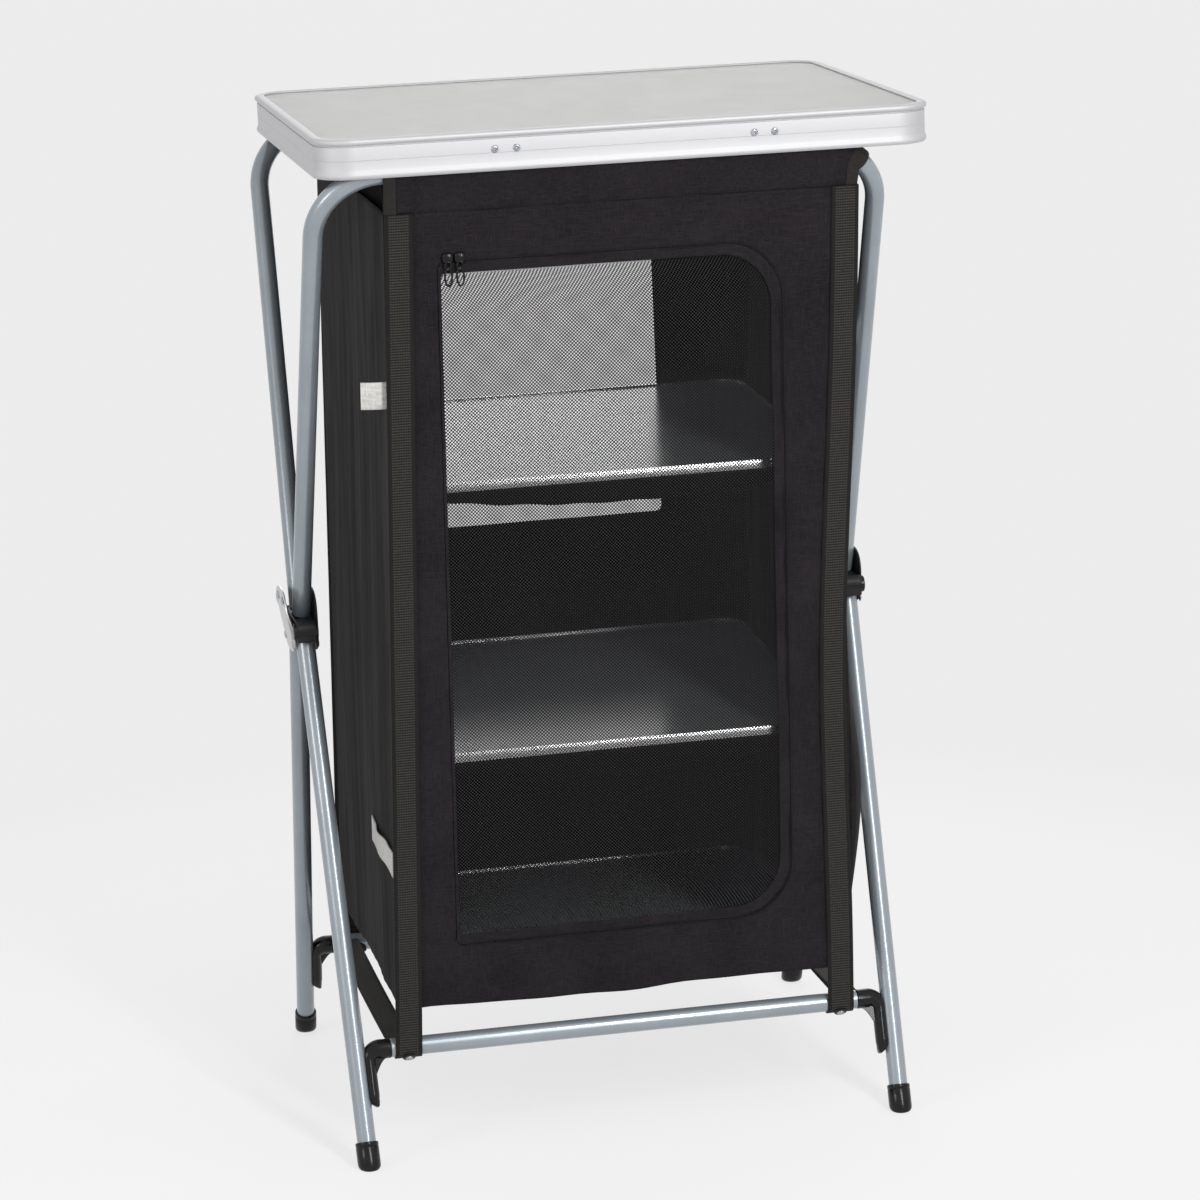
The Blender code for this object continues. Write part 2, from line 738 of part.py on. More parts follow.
def fabric_wall(end):
    """The front or back wall; the front is cut for the door and the back has a window."""
    name = name_end(end) + "_wall"
    half = cabinet_half_width - cloth_thickness
    if end < 0:
        heights = list(np.linspace(cabinet_bottom_z, cabinet_top_z, 9))
    else:
        heights = [cabinet_bottom_z, (cabinet_bottom_z + window_low_z) / 2, window_low_z,
                   (window_low_z + window_high_z) / 2, window_high_z, cabinet_top_z]
    grid = []
    for z in heights:
        centre = cabinet_centre_x(z)
        low, high = centre - half, centre + half
        if end < 0:
            xs = np.linspace(low, high, 7)
        else:
            middle = (window_left_x + window_right_x) / 2
            xs = [low, (low + window_left_x) / 2, window_left_x, middle, window_right_x, (window_right_x + high) / 2, high]
        grid.append([(x, end * cabinet_half_depth(z), z) for x in xs])
    offset = np.zeros_like(np.array(grid))
    offset[..., 1] = cloth_thickness / 2
    keep = np.ones((len(heights) - 1, 6), bool)
    if end > 0:
        keep[2:4, 2:4] = False
    wall = cloth_sheet(name, grid, offset, "cloth", keep)
    if end < 0:
        opening = prism("cut_door_opening", door_outline(-door_slit), flat_place(0), -0.01, 0.01, None)
        boolean(wall, opening, "DIFFERENCE")
    return wall


def door_left_x(z):
    share = (door_top_z - z) / (door_top_z - door_bottom_z)
    return door_left_top_x + (door_left_bottom_x - door_left_top_x) * share


def side_wall_point(side, y, z):
    """A place in a side wall's middle plane, with its hanging folds, which die out at its edges."""
    lean = cabinet_share(z)
    share = y / (cabinet_half_depth(z) - cloth_thickness / 2 - fit_gap)
    fade = 1 - share ** 4
    crease = math.sin(9.5 * share + 1.4 * lean) + 0.5 * math.sin(17.0 * share - 2.0 * lean)
    out = cabinet_half_width - cloth_thickness / 2 - wall_fold_depth * fade * (1.2 + 0.55 * crease)
    return (cabinet_centre_x(z) + side * out, y, z)


wall_heights = np.linspace(cabinet_bottom_z, cabinet_top_z, 13)


def side_wall_row(side, z):
    edge = cabinet_half_depth(z) - cloth_thickness / 2 - fit_gap
    return [side_wall_point(side, edge * share, z) for share in np.linspace(-1, 1, 15)]


def side_wall_x(side, y, z):
    """Where the faceted side wall's middle lies, read between its grid points."""
    upper = int(np.searchsorted(wall_heights, z))
    low, high = wall_heights[upper - 1], wall_heights[upper]
    xs = []
    for height in (low, high):
        row = np.array(side_wall_row(side, height))
        xs.append(np.interp(y, row[:, 1], row[:, 0]))
    return xs[0] + (xs[1] - xs[0]) * (z - low) / (high - low)


def side_wall(side):
    """A side wall with its hanging folds."""
    grid = [side_wall_row(side, z) for z in wall_heights]
    offset = np.zeros_like(np.array(grid))
    offset[..., 0] = cloth_thickness / 2
    return cloth_sheet(name_side(side) + "_wall", grid, offset, "cloth")


sleeve_bottom_z = cabinet_top_z + fit_gap
sleeve_inner = tube_radius + 2 * fit_gap
sleeve_outer = sleeve_inner + sleeve_thickness
sleeve_left_x = cabinet_left_x + fit_gap
sleeve_bend_steps = 6
sleeve_wrap_start = 4
sleeve_wrap = 218
sleeve_wrap_gain = 24
sleeve_seam_inset = 0.0025
sleeve_seam_right_x = cabinet_top_centre_x + cabinet_half_width - sleeve_seam_inset


def top_bar_path(end, start_x, bend_steps):
    """Stations along a top bar from a place on its straight part into its right bend."""
    corner = Vector((upper_bar_half_width, end * upper_bar_y, upper_bar_z))
    down = (Vector((pin_x, end * upper_pin_y, upper_pin_z)) - corner).normalized()
    along = Vector((1, 0, 0))
    half = math.acos(-along.dot(down)) / 2
    reach = upper_bend_radius / math.tan(half)
    begin = corner - along * reach
    inward = (down - along * down.dot(along)).normalized()
    stations = [(Vector((x, corner.y, corner.z)), along, inward)
                for x in np.linspace(start_x, begin.x, 8)]
    for step in range(1, bend_steps + 1):
        angle = (math.pi - 2 * half) * step / upper_bend_steps
        forward = along * math.cos(angle) + inward * math.sin(angle)
        across = inward * math.cos(angle) - along * math.sin(angle)
        centre = begin + inward * upper_bend_radius
        stations.append((centre - across * upper_bend_radius, forward, across))
    return stations


def top_sleeve(end):
    """The sleeve round a top bar, drawn to a seam below it; it follows the bar into its right bend."""
    seam_y = cabinet_half_depth(sleeve_bottom_z)
    stations = top_bar_path(end, sleeve_left_x, sleeve_bend_steps)
    last_straight = stations[-1 - sleeve_bend_steps][0].x
    widest = stations[-1][0].x
    outer, inner = [], []
    for centre, forward, across in stations:
        share = max(0, (centre.x - last_straight) / (widest - last_straight))
        seam_x = min(centre.x, last_straight) + share * (sleeve_seam_right_x - last_straight)
        outward = forward.cross(across) * end
        outer_ring, inner_ring = [], []
        for k in range(13):
            wrap = sleeve_wrap + 2 * sleeve_wrap_gain * share
            angle = math.radians(sleeve_wrap_start - sleeve_wrap_gain * share + wrap * k / 12)
            toward = outward * math.cos(angle) - across * math.sin(angle)
            outer_ring.append(centre + toward * sleeve_outer)
            inner_ring.append(centre + toward * sleeve_inner)
        for y in (seam_y - sleeve_thickness, seam_y + sleeve_thickness):
            outer_ring.append(Vector((seam_x, end * y, sleeve_bottom_z)))
        for y in (seam_y - fit_gap, seam_y + fit_gap):
            inner_ring.append(Vector((seam_x, end * y, sleeve_bottom_z + 3 * sleeve_thickness)))
        outer.append(outer_ring)
        inner.append(inner_ring)
    count = len(stations)
    size = len(outer[0])
    verts = [v for ring in outer + inner for v in ring]
    shift = count * size
    faces = []
    for k in range(size):
        m = (k + 1) % size
        for i in range(count - 1):
            for base in (0, shift):
                a = base + i * size
                faces.append((a + k, a + size + k, a + size + m, a + m))
        for a in (0, (count - 1) * size):
            faces.append((a + k, a + m, a + m + shift, a + k + shift))
    return add_mesh(name_end(end) + "_sleeve", verts, faces, "cloth")


sling_end_gap = 0.0011
sling_flap = 0.006
sling_turn = 0.003


def sling(name, z, droop, slope):
    """A fabric sling from wall to wall with a drooping front flap; it rises to the back by its slope."""
    centre = cabinet_centre_x(z)
    half = cabinet_half_width - wall_fold_depth * 2.2 - 2 * cloth_thickness
    front = -cabinet_half_depth(z) + cloth_thickness + sling_end_gap
    back = cabinet_half_depth(z) - cloth_thickness - sling_end_gap
    shares = np.linspace(-1, 1, 13)
    stations = [("flap", 1.0), ("flap", 0.5), ("edge", 0.0), ("level", 0.02), ("level", 0.25), ("level", 0.5),
                ("level", 0.75), ("level", 1.0)]
    grid = np.zeros((len(stations), len(shares), 3))
    for i, (kind, value) in enumerate(stations):
        for j, share in enumerate(shares):
            x = centre + share * half
            sag = 1 - share ** 2
            if kind == "flap":
                grid[i, j] = (x, front, z - value * (sling_flap + droop * sag) - sling_turn / 3)
            elif kind == "edge":
                grid[i, j] = (x, front + sling_turn / 4, z)
            else:
                grid[i, j] = (x, front + sling_turn + (back - front - sling_turn) * value, z)
    grid[..., 2] += slope * grid[..., 1]
    offset = np.zeros_like(grid)
    offset[..., 2] = cloth_thickness / 2
    offset[0, :, 1] = offset[1, :, 1] = cloth_thickness / 2
    offset[0, :, 2] = offset[1, :, 2] = 0
    offset[2, :, 1] = cloth_thickness / 2 * 0.7
    offset[2, :, 2] = cloth_thickness / 2 * 0.7
    offset[0:3, :, 1] *= -1
    return cloth_sheet(name, grid, offset, "cloth")


roof_drop = 0.0035
roof_sag = 0.005


def roof():
    """The cloth roof under the top bars, sagging a little."""
    z = cabinet_top_z - roof_drop
    half = cabinet_half_width - wall_fold_depth * 2.2 - 2 * cloth_thickness
    depth = cabinet_half_depth(z) - cloth_thickness / 2 - fit_gap
    grid = []
    for v in np.linspace(-1, 1, 7):
        grid.append([(cabinet_centre_x(z) + u * half, v * depth, z - roof_sag * (1 - u * u) * (1 - v * v))
                     for u in np.linspace(-1, 1, 9)])
    offset = np.zeros_like(np.array(grid))
    offset[..., 2] = cloth_thickness / 2
    return cloth_sheet("roof", grid, offset, "cloth")


# Shelves

def shelf_board(level):
    z = shelf_heights[level]
    centre = cabinet_centre_x(z)
    inset = shelf_edging_thickness + fit_gap
    low = (-shelf_half_width + inset, -shelf_half_depth + inset)
    high = (shelf_half_width - inset, shelf_half_depth - inset)
    outline = rounded_outline(low, high, [shelf_corner_radius - inset] * 4, 5)
    slope = shelf_slope_shares[level]

    def place(a, b, depth):
        return (centre + a, b, depth + slope * b)

    return prism("shelf_" + level, outline, place, z - shelf_thickness / 2, z + shelf_thickness / 2, "board")


def shelf_edging(level):
    """The thin bright band round a shelf board."""
    z = shelf_heights[level]
    centre = cabinet_centre_x(z)
    lip = 0.0026
    height = shelf_edging_height / 2
    slot = shelf_thickness / 2 + fit_gap
    profile = [(0.0, height), (0.0, -height), (lip, -height), (lip, -slot), (shelf_edging_thickness, -slot),
               (shelf_edging_thickness, height)]
    rings = []
    for inset, rise in profile:
        low = (-shelf_half_width + inset, -shelf_half_depth + inset)
        high = (shelf_half_width - inset, shelf_half_depth - inset)
        outline = rounded_outline(low, high, [shelf_corner_radius - inset] * 4, 5)
        rings.append([(centre + x, y, z + rise + shelf_slope_shares[level] * y) for x, y in outline])
    return loft_rings("shelf_" + level + "_edging", rings, "edging")


# Door

def front_y(z):
    return -cabinet_half_depth(z)


def door_outline(inset, z_shift=0.0):
    """The door's outline in X and Z, following the slanted hinge seam."""
    low = (0.0, door_bottom_z + inset)
    high = (1.0, door_top_z - inset)
    radii = [door_small_radius, door_corner_radius, door_corner_radius, door_small_radius]
    width = door_right_x - door_left_bottom_x - 2 * inset
    outline = rounded_outline((0, low[1]), (width, high[1]), [max(r - inset * 0.6, 0.004) for r in radii], 7)
    points = []
    for x, z in outline:
        shear = (door_left_x(z) - door_left_bottom_x) * (1 - x / width)
        points.append((door_left_bottom_x + inset + x + shear, z))
    return points


def flat_place(shift):
    """A place in the front wall's plane, shifted in or out of it."""

    def place(a, b, depth):
        return (a, front_y(b) + shift + depth, b)

    return place


def door_border_piece():
    """The door's cloth border round its net: a flat ring."""
    rings = []
    half = cloth_thickness / 2
    for inset, depth in ((0, -half), (0, half), (door_border, half), (door_border, -half)):
        rings.append([(x, front_y(z) + depth, z) for x, z in door_outline(inset)])
    return loft_rings("door_border", rings, "cloth")


net_columns = 8
net_rows = 16
net_strand = 0.0020
net_thickness = 0.0007


def net_panel(name, x_low, x_high, z_low, z_high, y_of, columns, rows, skew=None):
    """A flat net of strands with square gaps; its fine weave is left to the looks."""
    edge = net_strand * 1.5

    def spread(low, high, count):
        pitch = (high - low - 2 * edge + net_strand) / count
        stops = [low, low + edge]
        for k in range(1, count):
            line = low + edge + k * pitch
            stops += [line - net_strand, line]
        return stops + [high - edge, high]

    xs = spread(x_low, x_high, columns)
    zs = spread(z_low, z_high, rows)
    grid = np.array([[(x + (skew(z) if skew else 0) * (x_high - x) / (x_high - x_low), y_of(z), z) for x in xs] for z in zs])
    keep = np.ones((len(zs) - 1, len(xs) - 1), bool)
    keep[1::2, 1::2] = False
    offset = np.zeros_like(grid)
    offset[..., 1] = net_thickness / 2
    return cloth_sheet(name, grid, offset, "net", keep)


def door_net():
    """The net fills the door's border, with the same rounded corners."""
    gap = door_border + fit_gap
    low_x = door_left_bottom_x + gap
    high_x = door_right_x - gap
    low_z = door_bottom_z + gap
    high_z = door_top_z - gap

    def skew(z):
        return door_left_x(z) - door_left_bottom_x

    net = net_panel("door_net", low_x, high_x, low_z, high_z, front_y, net_columns, net_rows, skew)
    cut_outline = door_outline(gap)
    big = prism("keep_door_net", cut_outline, flat_place(0), -0.01, 0.01, None)
    boolean(net, big, "INTERSECT")
    return net


# Webbing

strap_top_inset = 0.0140
strap_bottom_inset = 0.0075
strap_top_x = cabinet_half_width - strap_top_inset
strap_bottom_x = cabinet_half_width - strap_bottom_inset
strap_offset = cloth_thickness / 2 + fit_gap + webbing_thickness / 2


def upright_strap(side, end):
    """Webbing from the seam below the sleeve down the wall, hooked under the lower bar."""
    top_x = cabinet_top_centre_x + side * strap_top_x
    bottom_x = side * strap_bottom_x
    bar_y = lower_bar_y
    under = tube_radius + fit_gap + webbing_thickness / 2
    path = [(cabinet_half_depth(z) + strap_offset, z)
            for z in np.linspace(cabinet_top_z - fit_gap, cabinet_bottom_z + 0.03, 7)]
    path += [(y, z) for _, y, z in arc((bar_y, lower_bar_z), under, 8, -190, 11)]
    points = []
    for y, z in path:
        share = min(max((cabinet_top_z - z) / (cabinet_top_z - lower_bar_z), 0), 1)
        points.append((top_x + (bottom_x - top_x) * share, end * y, z))
    name = "strap_" + name_end(end) + "_" + name_side(side)
    return strip(name, points, (1, 0, 0), webbing_thickness, webbing_width, "webbing")


belt_sag = 0.002
belt_shares = (0.67, 0.33, 0.0, -0.33, -0.67)
belt_outer_gap = 0.0030
belt_x = elbow_inner_x + belt_outer_gap - webbing_width / 2


def lower_belt(side):
    """The belt that holds the lower frames together, sewn to the strap loops on the bars' inner sides."""
    bar_y = lower_bar_y
    over = tube_radius + 2 * fit_gap + 1.5 * webbing_thickness
    back = arc((bar_y, lower_bar_z), over, 205, 150, 5)
    front = [(x, -y, z) for x, y, z in reversed(back)]
    level = back[-1][2]
    middle = [(0, bar_y * share, level - belt_sag * (1 - share ** 2)) for share in belt_shares]
    path = [(side * belt_x, y, z) for _, y, z in back + middle + front]
    return strip("belt_" + name_side(side), path, (1, 0, 0), webbing_thickness, webbing_width, "webbing")


# Small pieces

tab_height = 0.030
tab_thickness = 0.0012
tab_shares = {"upper": (0.7827, -0.969, -0.570), "lower": (0.1847, -0.886, -0.154)}


def side_tab(side, level):
    """A pale felt tab sewn to a side wall."""
    height_share, low_share, high_share = tab_shares[level]
    z = cabinet_bottom_z + cabinet_height * height_share
    low_y = cabinet_half_depth(z) * low_share
    high_y = cabinet_half_depth(z) * high_share
    rise = cloth_thickness / 2 + 2 * fit_gap + tab_thickness / 2
    stations = [y for _, y, _ in side_wall_row(side, z) if low_y < y < high_y]
    ys = sorted([low_y, high_y] + [y for y in stations if min(y - low_y, high_y - y) > tab_thickness])
    grid = []
    for height in (z - tab_height / 2, z + tab_height / 2):
        grid.append([(side_wall_x(side, y, height) + side * rise, y, height) for y in ys])
    offset = np.zeros_like(np.array(grid))
    offset[..., 0] = tab_thickness / 2
    return cloth_sheet("tab_" + level + "_" + name_side(side), grid, offset, "felt")


slider_inset = 0.0125
slider_spacing = 0.0140
slider_length = 0.0120
slider_width = 0.0080
slider_thickness = 0.0030
pull_length = 0.0200


def zip_slider(name, x):
    """A zip slider with its hanging pull tab, in front of the door's top edge."""
    z = door_top_z - 0.004
    y = front_y(door_top_z) - cloth_thickness / 2 - fit_gap
    body = box(name, (x - slider_length / 2, y - slider_thickness, z - slider_width / 2),
               (x + slider_length / 2, y, z + slider_width / 2), "zip_metal")
    tab = box("add_pull_" + name, (x - 0.003, y - slider_thickness + 0.0004, z - slider_width / 2 - pull_length),
              (x + 0.003, y - slider_thickness + 0.0020, z - slider_width / 2 + 0.001), None)
    eye = box("cut_eye_" + name, (x - 0.0016, y - 0.01, z - slider_width / 2 - pull_length + 0.003),
              (x + 0.0016, y + 0.0, z - slider_width / 2 - pull_length + 0.010), None)
    boolean(body, tab, "UNION")
    boolean(body, eye, "DIFFERENCE")
    return body


# Moving groups

def group(name, place, members):
    """An empty on the joint axis that carries the moving pieces."""
    empty = bpy.data.objects.new(name, None)
    empty.location = place
    guides.objects.link(empty)
    for obj in members:
        obj.parent = empty
        obj.location = -Vector(place)
        for modifier in obj.modifiers:
            if modifier.type == "BOOLEAN" and modifier.object.parent is None:
                modifier.object.parent = empty
                modifier.object.location = -Vector(place)


def centre_on_origin():
    """Move everything sideways so that the origin lies under the middle of the whole part."""
    right_reach = worktop_side_shift + worktop_width / 2
    left_reach = outer_plate_x + plate_thickness + pin_head_height
    shift = (right_reach - left_reach) / 2
    for obj in bpy.data.objects:
        if obj.parent is None:
            obj.location.x -= shift


clear_scene()
parts = new_collection("parts")
cutters = new_collection("cutters")
guides = new_collection("guides")

top = [worktop_edge(), worktop_panel()]
top += [worktop_clip(side, end) for end in (-1, 1) for side in (-1, 1)]
group("worktop_lift", (worktop_side_shift, 0, worktop_height), top)

for end in (-1, 1):
    group("upper_" + name_end(end) + "_hinge", (0, end * upper_pin_y, upper_pin_z), [upper_frame(end)])
    lower = [lower_bar(end)]
    for side in (-1, 1):
        lower += [lower_leg(side, end), elbow(side, end), foot_cap(side, end)]
    group("lower_" + name_end(end) + "_hinge", (0, end * lower_pin_y, lower_pin_z), lower)

for side in (-1, 1):
    outer_plate(side)
    inner_plate(side)
    hub(side)

for end in (-1, 1):
    fabric_wall(end)
    top_sleeve(end)
for side in (-1, 1):
    side_wall(side)
    lower_belt(side)
    for end in (-1, 1):
        upright_strap(side, end)
    for level in tab_shares:
        side_tab(side, level)

window_gap = 0.0005
net_panel("window_net", window_left_x + window_gap, window_right_x - window_gap, window_low_z + window_gap,
          window_high_z - window_gap, cabinet_half_depth, 6, 8)

sling_drop = shelf_edging_height / 2 + cloth_thickness / 2 + fit_gap
sling_droop = 0.020
floor_droop = 0.008
for level, name, droop in (("upper", "sling_upper", sling_droop), ("middle", "sling_middle", sling_droop),
                           ("lower", "cabinet_floor", floor_droop)):
    sling(name, shelf_heights[level] - sling_drop, droop, shelf_slope_shares[level])

roof()

for level, hinge_y in (("upper", 0), ("middle", 0), ("lower", lower_shelf_hinge_y)):
    z = shelf_heights[level]
    group("shelf_" + level + "_tip", (cabinet_centre_x(z), hinge_y, z), [shelf_board(level), shelf_edging(level)])

door_axis = (door_left_top_x - door_slit / 2, front_y(door_top_z) - cloth_thickness / 2, door_top_z)
group("door_hinge", door_axis, [door_border_piece(), door_net()])
left_slider_x = door_left_top_x + slider_inset
right_slider_x = left_slider_x + slider_spacing
group("zip_run_left", (left_slider_x, front_y(door_top_z), door_top_z), [zip_slider("zip_slider_left", left_slider_x)])
group("zip_run_right", (right_slider_x, front_y(door_top_z), door_top_z),
      [zip_slider("zip_slider_right", right_slider_x)])
centre_on_origin()
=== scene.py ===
# %% [markdown]
# # A fabric camp kitchen cupboard
# The object is a folding frame of bent tubes that carries a lift-off worktop. A black cloth cabinet
# hangs between the tubes, with three shelves behind a net door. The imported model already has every
# rigid part at its real size, so this file only dresses it: it loads that frame, then replaces rough
# solids by smooth ones and gives each surface its finish. Starting from the frame keeps every place
# exact, which is why nothing here is measured twice.
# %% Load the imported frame
import math

import bmesh
import bpy
import numpy as np
from mathutils import Matrix, Vector


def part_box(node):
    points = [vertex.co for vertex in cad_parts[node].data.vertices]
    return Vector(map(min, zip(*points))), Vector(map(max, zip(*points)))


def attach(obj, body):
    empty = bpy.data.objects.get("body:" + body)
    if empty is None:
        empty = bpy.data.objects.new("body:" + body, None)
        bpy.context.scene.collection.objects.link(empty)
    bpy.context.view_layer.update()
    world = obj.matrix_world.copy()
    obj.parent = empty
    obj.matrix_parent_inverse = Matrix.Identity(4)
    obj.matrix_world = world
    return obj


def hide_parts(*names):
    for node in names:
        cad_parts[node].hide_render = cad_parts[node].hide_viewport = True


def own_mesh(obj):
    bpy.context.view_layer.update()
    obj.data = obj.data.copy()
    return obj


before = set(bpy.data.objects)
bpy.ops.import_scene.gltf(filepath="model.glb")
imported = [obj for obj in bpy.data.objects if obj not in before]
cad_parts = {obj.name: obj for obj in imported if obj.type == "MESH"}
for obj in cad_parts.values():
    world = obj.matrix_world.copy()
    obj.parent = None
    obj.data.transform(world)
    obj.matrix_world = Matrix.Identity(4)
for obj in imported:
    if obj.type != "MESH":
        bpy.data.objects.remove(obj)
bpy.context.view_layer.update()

# %% [markdown]
# ## Where things are
# Every shape below is drawn about the middle of the tube frame, because the frame is the one thing on
# the object that is the same on both sides. The middle is read from the two outer bracket plates. The
# other sizes are the real ones of this object, in metres, and most follow from a few of them.
# %% Sizes of the frame
left_plate, right_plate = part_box("bracket_outer_left"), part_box("bracket_outer_right")
middle_x = (left_plate[0].x + right_plate[1].x) / 2
worktop_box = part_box("worktop_edge")
worktop_height = worktop_box[1].z
worktop_half_depth = worktop_box[1].y
worktop_half_width = (worktop_box[1].x - worktop_box[0].x) / 2
worktop_middle_x = (worktop_box[1].x + worktop_box[0].x) / 2 - middle_x
tube_radius = 0.0095
tube_wall = 0.0012
upper_bar_y = worktop_half_depth - 0.0165
upper_bar_z = worktop_height - 0.036
upper_bar_x = 0.2738
bend_radius = 0.065
pin_x = 0.283
foot_x = 0.2748
foot_y = worktop_half_depth - 0.0072
upper_pin = (0.0151, 0.538018)
lower_pin = (0.0261, 0.494018)
lower_bar_z = 0.1094
bracket_z = 0.516018
print("middle", round(middle_x, 5), "worktop", round(worktop_half_width, 4), round(worktop_half_depth, 4))

# %% [markdown]
# The cloth cabinet is a little wider at its left at the bottom than at the top, and it narrows from
# front to back as it goes down, because its corners hang from the top bars and end at the lower ones.
# Three small functions say where its middle and its front are at a height. They take whole arrays of
# heights, so that a wall with thousands of points is one line of numpy.
# %% Sizes of the cloth cabinet
cabinet_half_width = 0.2315
cabinet_top_z = upper_bar_z - 0.038
cabinet_bottom_z = lower_bar_z + 0.0406
cabinet_top_y = upper_bar_y + 0.003
lower_bar_y = lower_pin[0] + (foot_y - lower_pin[0]) * (lower_pin[1] - lower_bar_z) / lower_pin[1]
lower_leg_x = pin_x - (pin_x - foot_x) * (lower_pin[1] - lower_bar_z) / lower_pin[1]
elbow_reach = 0.0351
cabinet_bottom_y = lower_bar_y + 0.0102
cabinet_top_x = 0.0205
cabinet_bottom_x = -0.001
cloth_thickness = 0.0012


def drop_share(z):
    """How far down the cabinet a height is: 0 at its top and 1 at its bottom."""
    return (cabinet_top_z - z) / (cabinet_top_z - cabinet_bottom_z)


def centre_x(z):
    """The cabinet's middle at a height, on a straight line between its top and bottom middles."""
    return cabinet_top_x + (cabinet_bottom_x - cabinet_top_x) * drop_share(z)


def half_depth(z):
    """Half the cabinet's depth at a height, on a straight line between top and bottom."""
    return cabinet_top_y + (cabinet_bottom_y - cabinet_top_y) * drop_share(z)


print("lower bar at", round(lower_bar_y, 4), "cabinet", round(cabinet_top_z - cabinet_bottom_z, 4), "high")

# %% [markdown]
# ## From formulas to meshes
# A surface is a function of two parameters, so it is kept as a grid of points: rows by columns by three.
# One helper joins neighbours by quads and puts them in a mesh, another measures the surface in metres
# both ways and keeps that as its UV map, so that weave and ribs have their real size and follow the
# cloth. Faces are turned outwards by Blender after points that coincide are merged.
# %% Grids into meshes
sharp_angle = math.radians(38)
merge_reach = 1e-6


def grid_quads(rows, columns, round_down=False, round_across=False):
    """Each quad is a point, its right neighbour and the two in the next row; a closed way wraps round."""
    number = np.arange(rows * columns).reshape(rows, columns)
    if round_down:
        number = np.vstack([number, number[:1]])
    if round_across:
        number = np.hstack([number, number[:, :1]])
    corners = [number[:-1, :-1], number[:-1, 1:], number[1:, 1:], number[1:, :-1]]
    return np.stack(corners, axis=-1).reshape(-1, 4)


def way_in_metres(grid):
    """Running length across and down: sums of the distances between neighbouring points."""
    across = np.linalg.norm(np.diff(grid, axis=1), axis=-1).cumsum(axis=1)
    down = np.linalg.norm(np.diff(grid, axis=0), axis=-1).mean(axis=1).cumsum()
    across = np.pad(across, ((0, 0), (1, 0)))
    across = across - across[:, -1:] / 2
    down = np.pad(down, (1, 0))[:, None] + np.zeros_like(across)
    return np.stack([across, down], axis=-1).reshape(-1, 2)


def put_mesh(name, points, faces, finish, uv=None):
    """Makes the object: moves the points to the frame's middle, merges doubles, turns faces outwards."""
    mesh = bpy.data.meshes.new(name)
    moved = np.asarray(points, float).reshape(-1, 3) + (middle_x, 0, 0)
    mesh.from_pydata(moved.tolist(), [], faces)
    if uv is not None:
        layer = mesh.uv_layers.new(name="metres")
        of_loop = np.empty(len(mesh.loops), dtype=np.int32)
        mesh.loops.foreach_get("vertex_index", of_loop)
        layer.data.foreach_set("uv", uv[of_loop].ravel())
    shell = bmesh.new()
    shell.from_mesh(mesh)
    bmesh.ops.remove_doubles(shell, verts=shell.verts, dist=merge_reach)
    bmesh.ops.recalc_face_normals(shell, faces=shell.faces)
    shell.to_mesh(mesh)
    shell.free()
    mesh.shade_smooth()
    mesh.set_sharp_from_angle(angle=sharp_angle)
    mesh.materials.append(finish)
    piece = bpy.data.objects.new(name, mesh)
    bpy.context.scene.collection.objects.link(piece)
    return piece


def surface(name, grid, finish, round_down=False, round_across=False, caps=False):
    """A grid surface; caps close the first and last row with one face each."""
    grid = np.asarray(grid, float)
    rows, columns = grid.shape[:2]
    faces = grid_quads(rows, columns, round_down, round_across).tolist()
    if caps:
        faces += [list(range(columns)), list(range((rows - 1) * columns, rows * columns))]
    uv = None if round_across or round_down else way_in_metres(grid)
    return put_mesh(name, grid, faces, finish, uv)


def wear(piece, body, slot, *stands_for):
    """Ties a piece to the body that it moves with and hides the solids that it stands for. The slot is not
    used.
    """
    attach(piece, body)
    if stands_for:
        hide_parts(*stands_for)
    return piece


# %% [markdown]
# Three shapes come back everywhere. A turned shape is a profile spun round an axis: legs, caps, rivets.
# A swept tube carries a circle along a path that lies in one plane, so the circle's axes are that
# plane's normal and the direction across the path, and it never twists. A rim carries a flat profile
# round a rounded rectangle, moved inwards by the profile's inset.
# %% Turned, swept and rim shapes
def unit(vector):
    """The vectors with length one, along the last axis."""
    vector = np.asarray(vector, float)
    return vector / np.linalg.norm(vector, axis=-1, keepdims=True)


def length_along(path):
    """How far each point of a path is from its start: the running sum of the steps."""
    return np.insert(np.linalg.norm(np.diff(path, axis=0), axis=-1).cumsum(), 0, 0.0)


def turned(name, start, along, profile, finish, sides=40, caps=True):
    """Point = start + along * distance + radius * (cos * side + sin * up), for each (distance, radius)."""
    along = unit(along)
    side = unit(np.cross(along, (0.0, 1.0, 0.0) if abs(along[1]) < 0.9 else (0.0, 0.0, 1.0)))
    up = np.cross(along, side)
    angle = np.linspace(0, 2 * np.pi, sides, endpoint=False)[:, None]
    ring = np.cos(angle) * side + np.sin(angle) * up
    distance, radius = np.asarray(profile, float).T
    grid = np.asarray(start) + distance[:, None, None] * along + radius[:, None, None] * ring
    return surface(name, grid, finish, round_across=True, caps=caps)


def swept(name, path, tangent, plane_normal, radii, finish, sides=40, caps=False):
    """Point = path + radius * (cos * normal of the path's plane + sin * direction across the path)."""
    across = np.cross(tangent, plane_normal)
    angle = np.linspace(0, 2 * np.pi, sides, endpoint=False)[None, :, None]
    ring = np.cos(angle) * np.asarray(plane_normal) + np.sin(angle) * across[:, None]
    grid = np.asarray(path)[:, None] + np.asarray(radii)[:, None, None] * ring
    return surface(name, grid, finish, round_across=True, caps=caps)


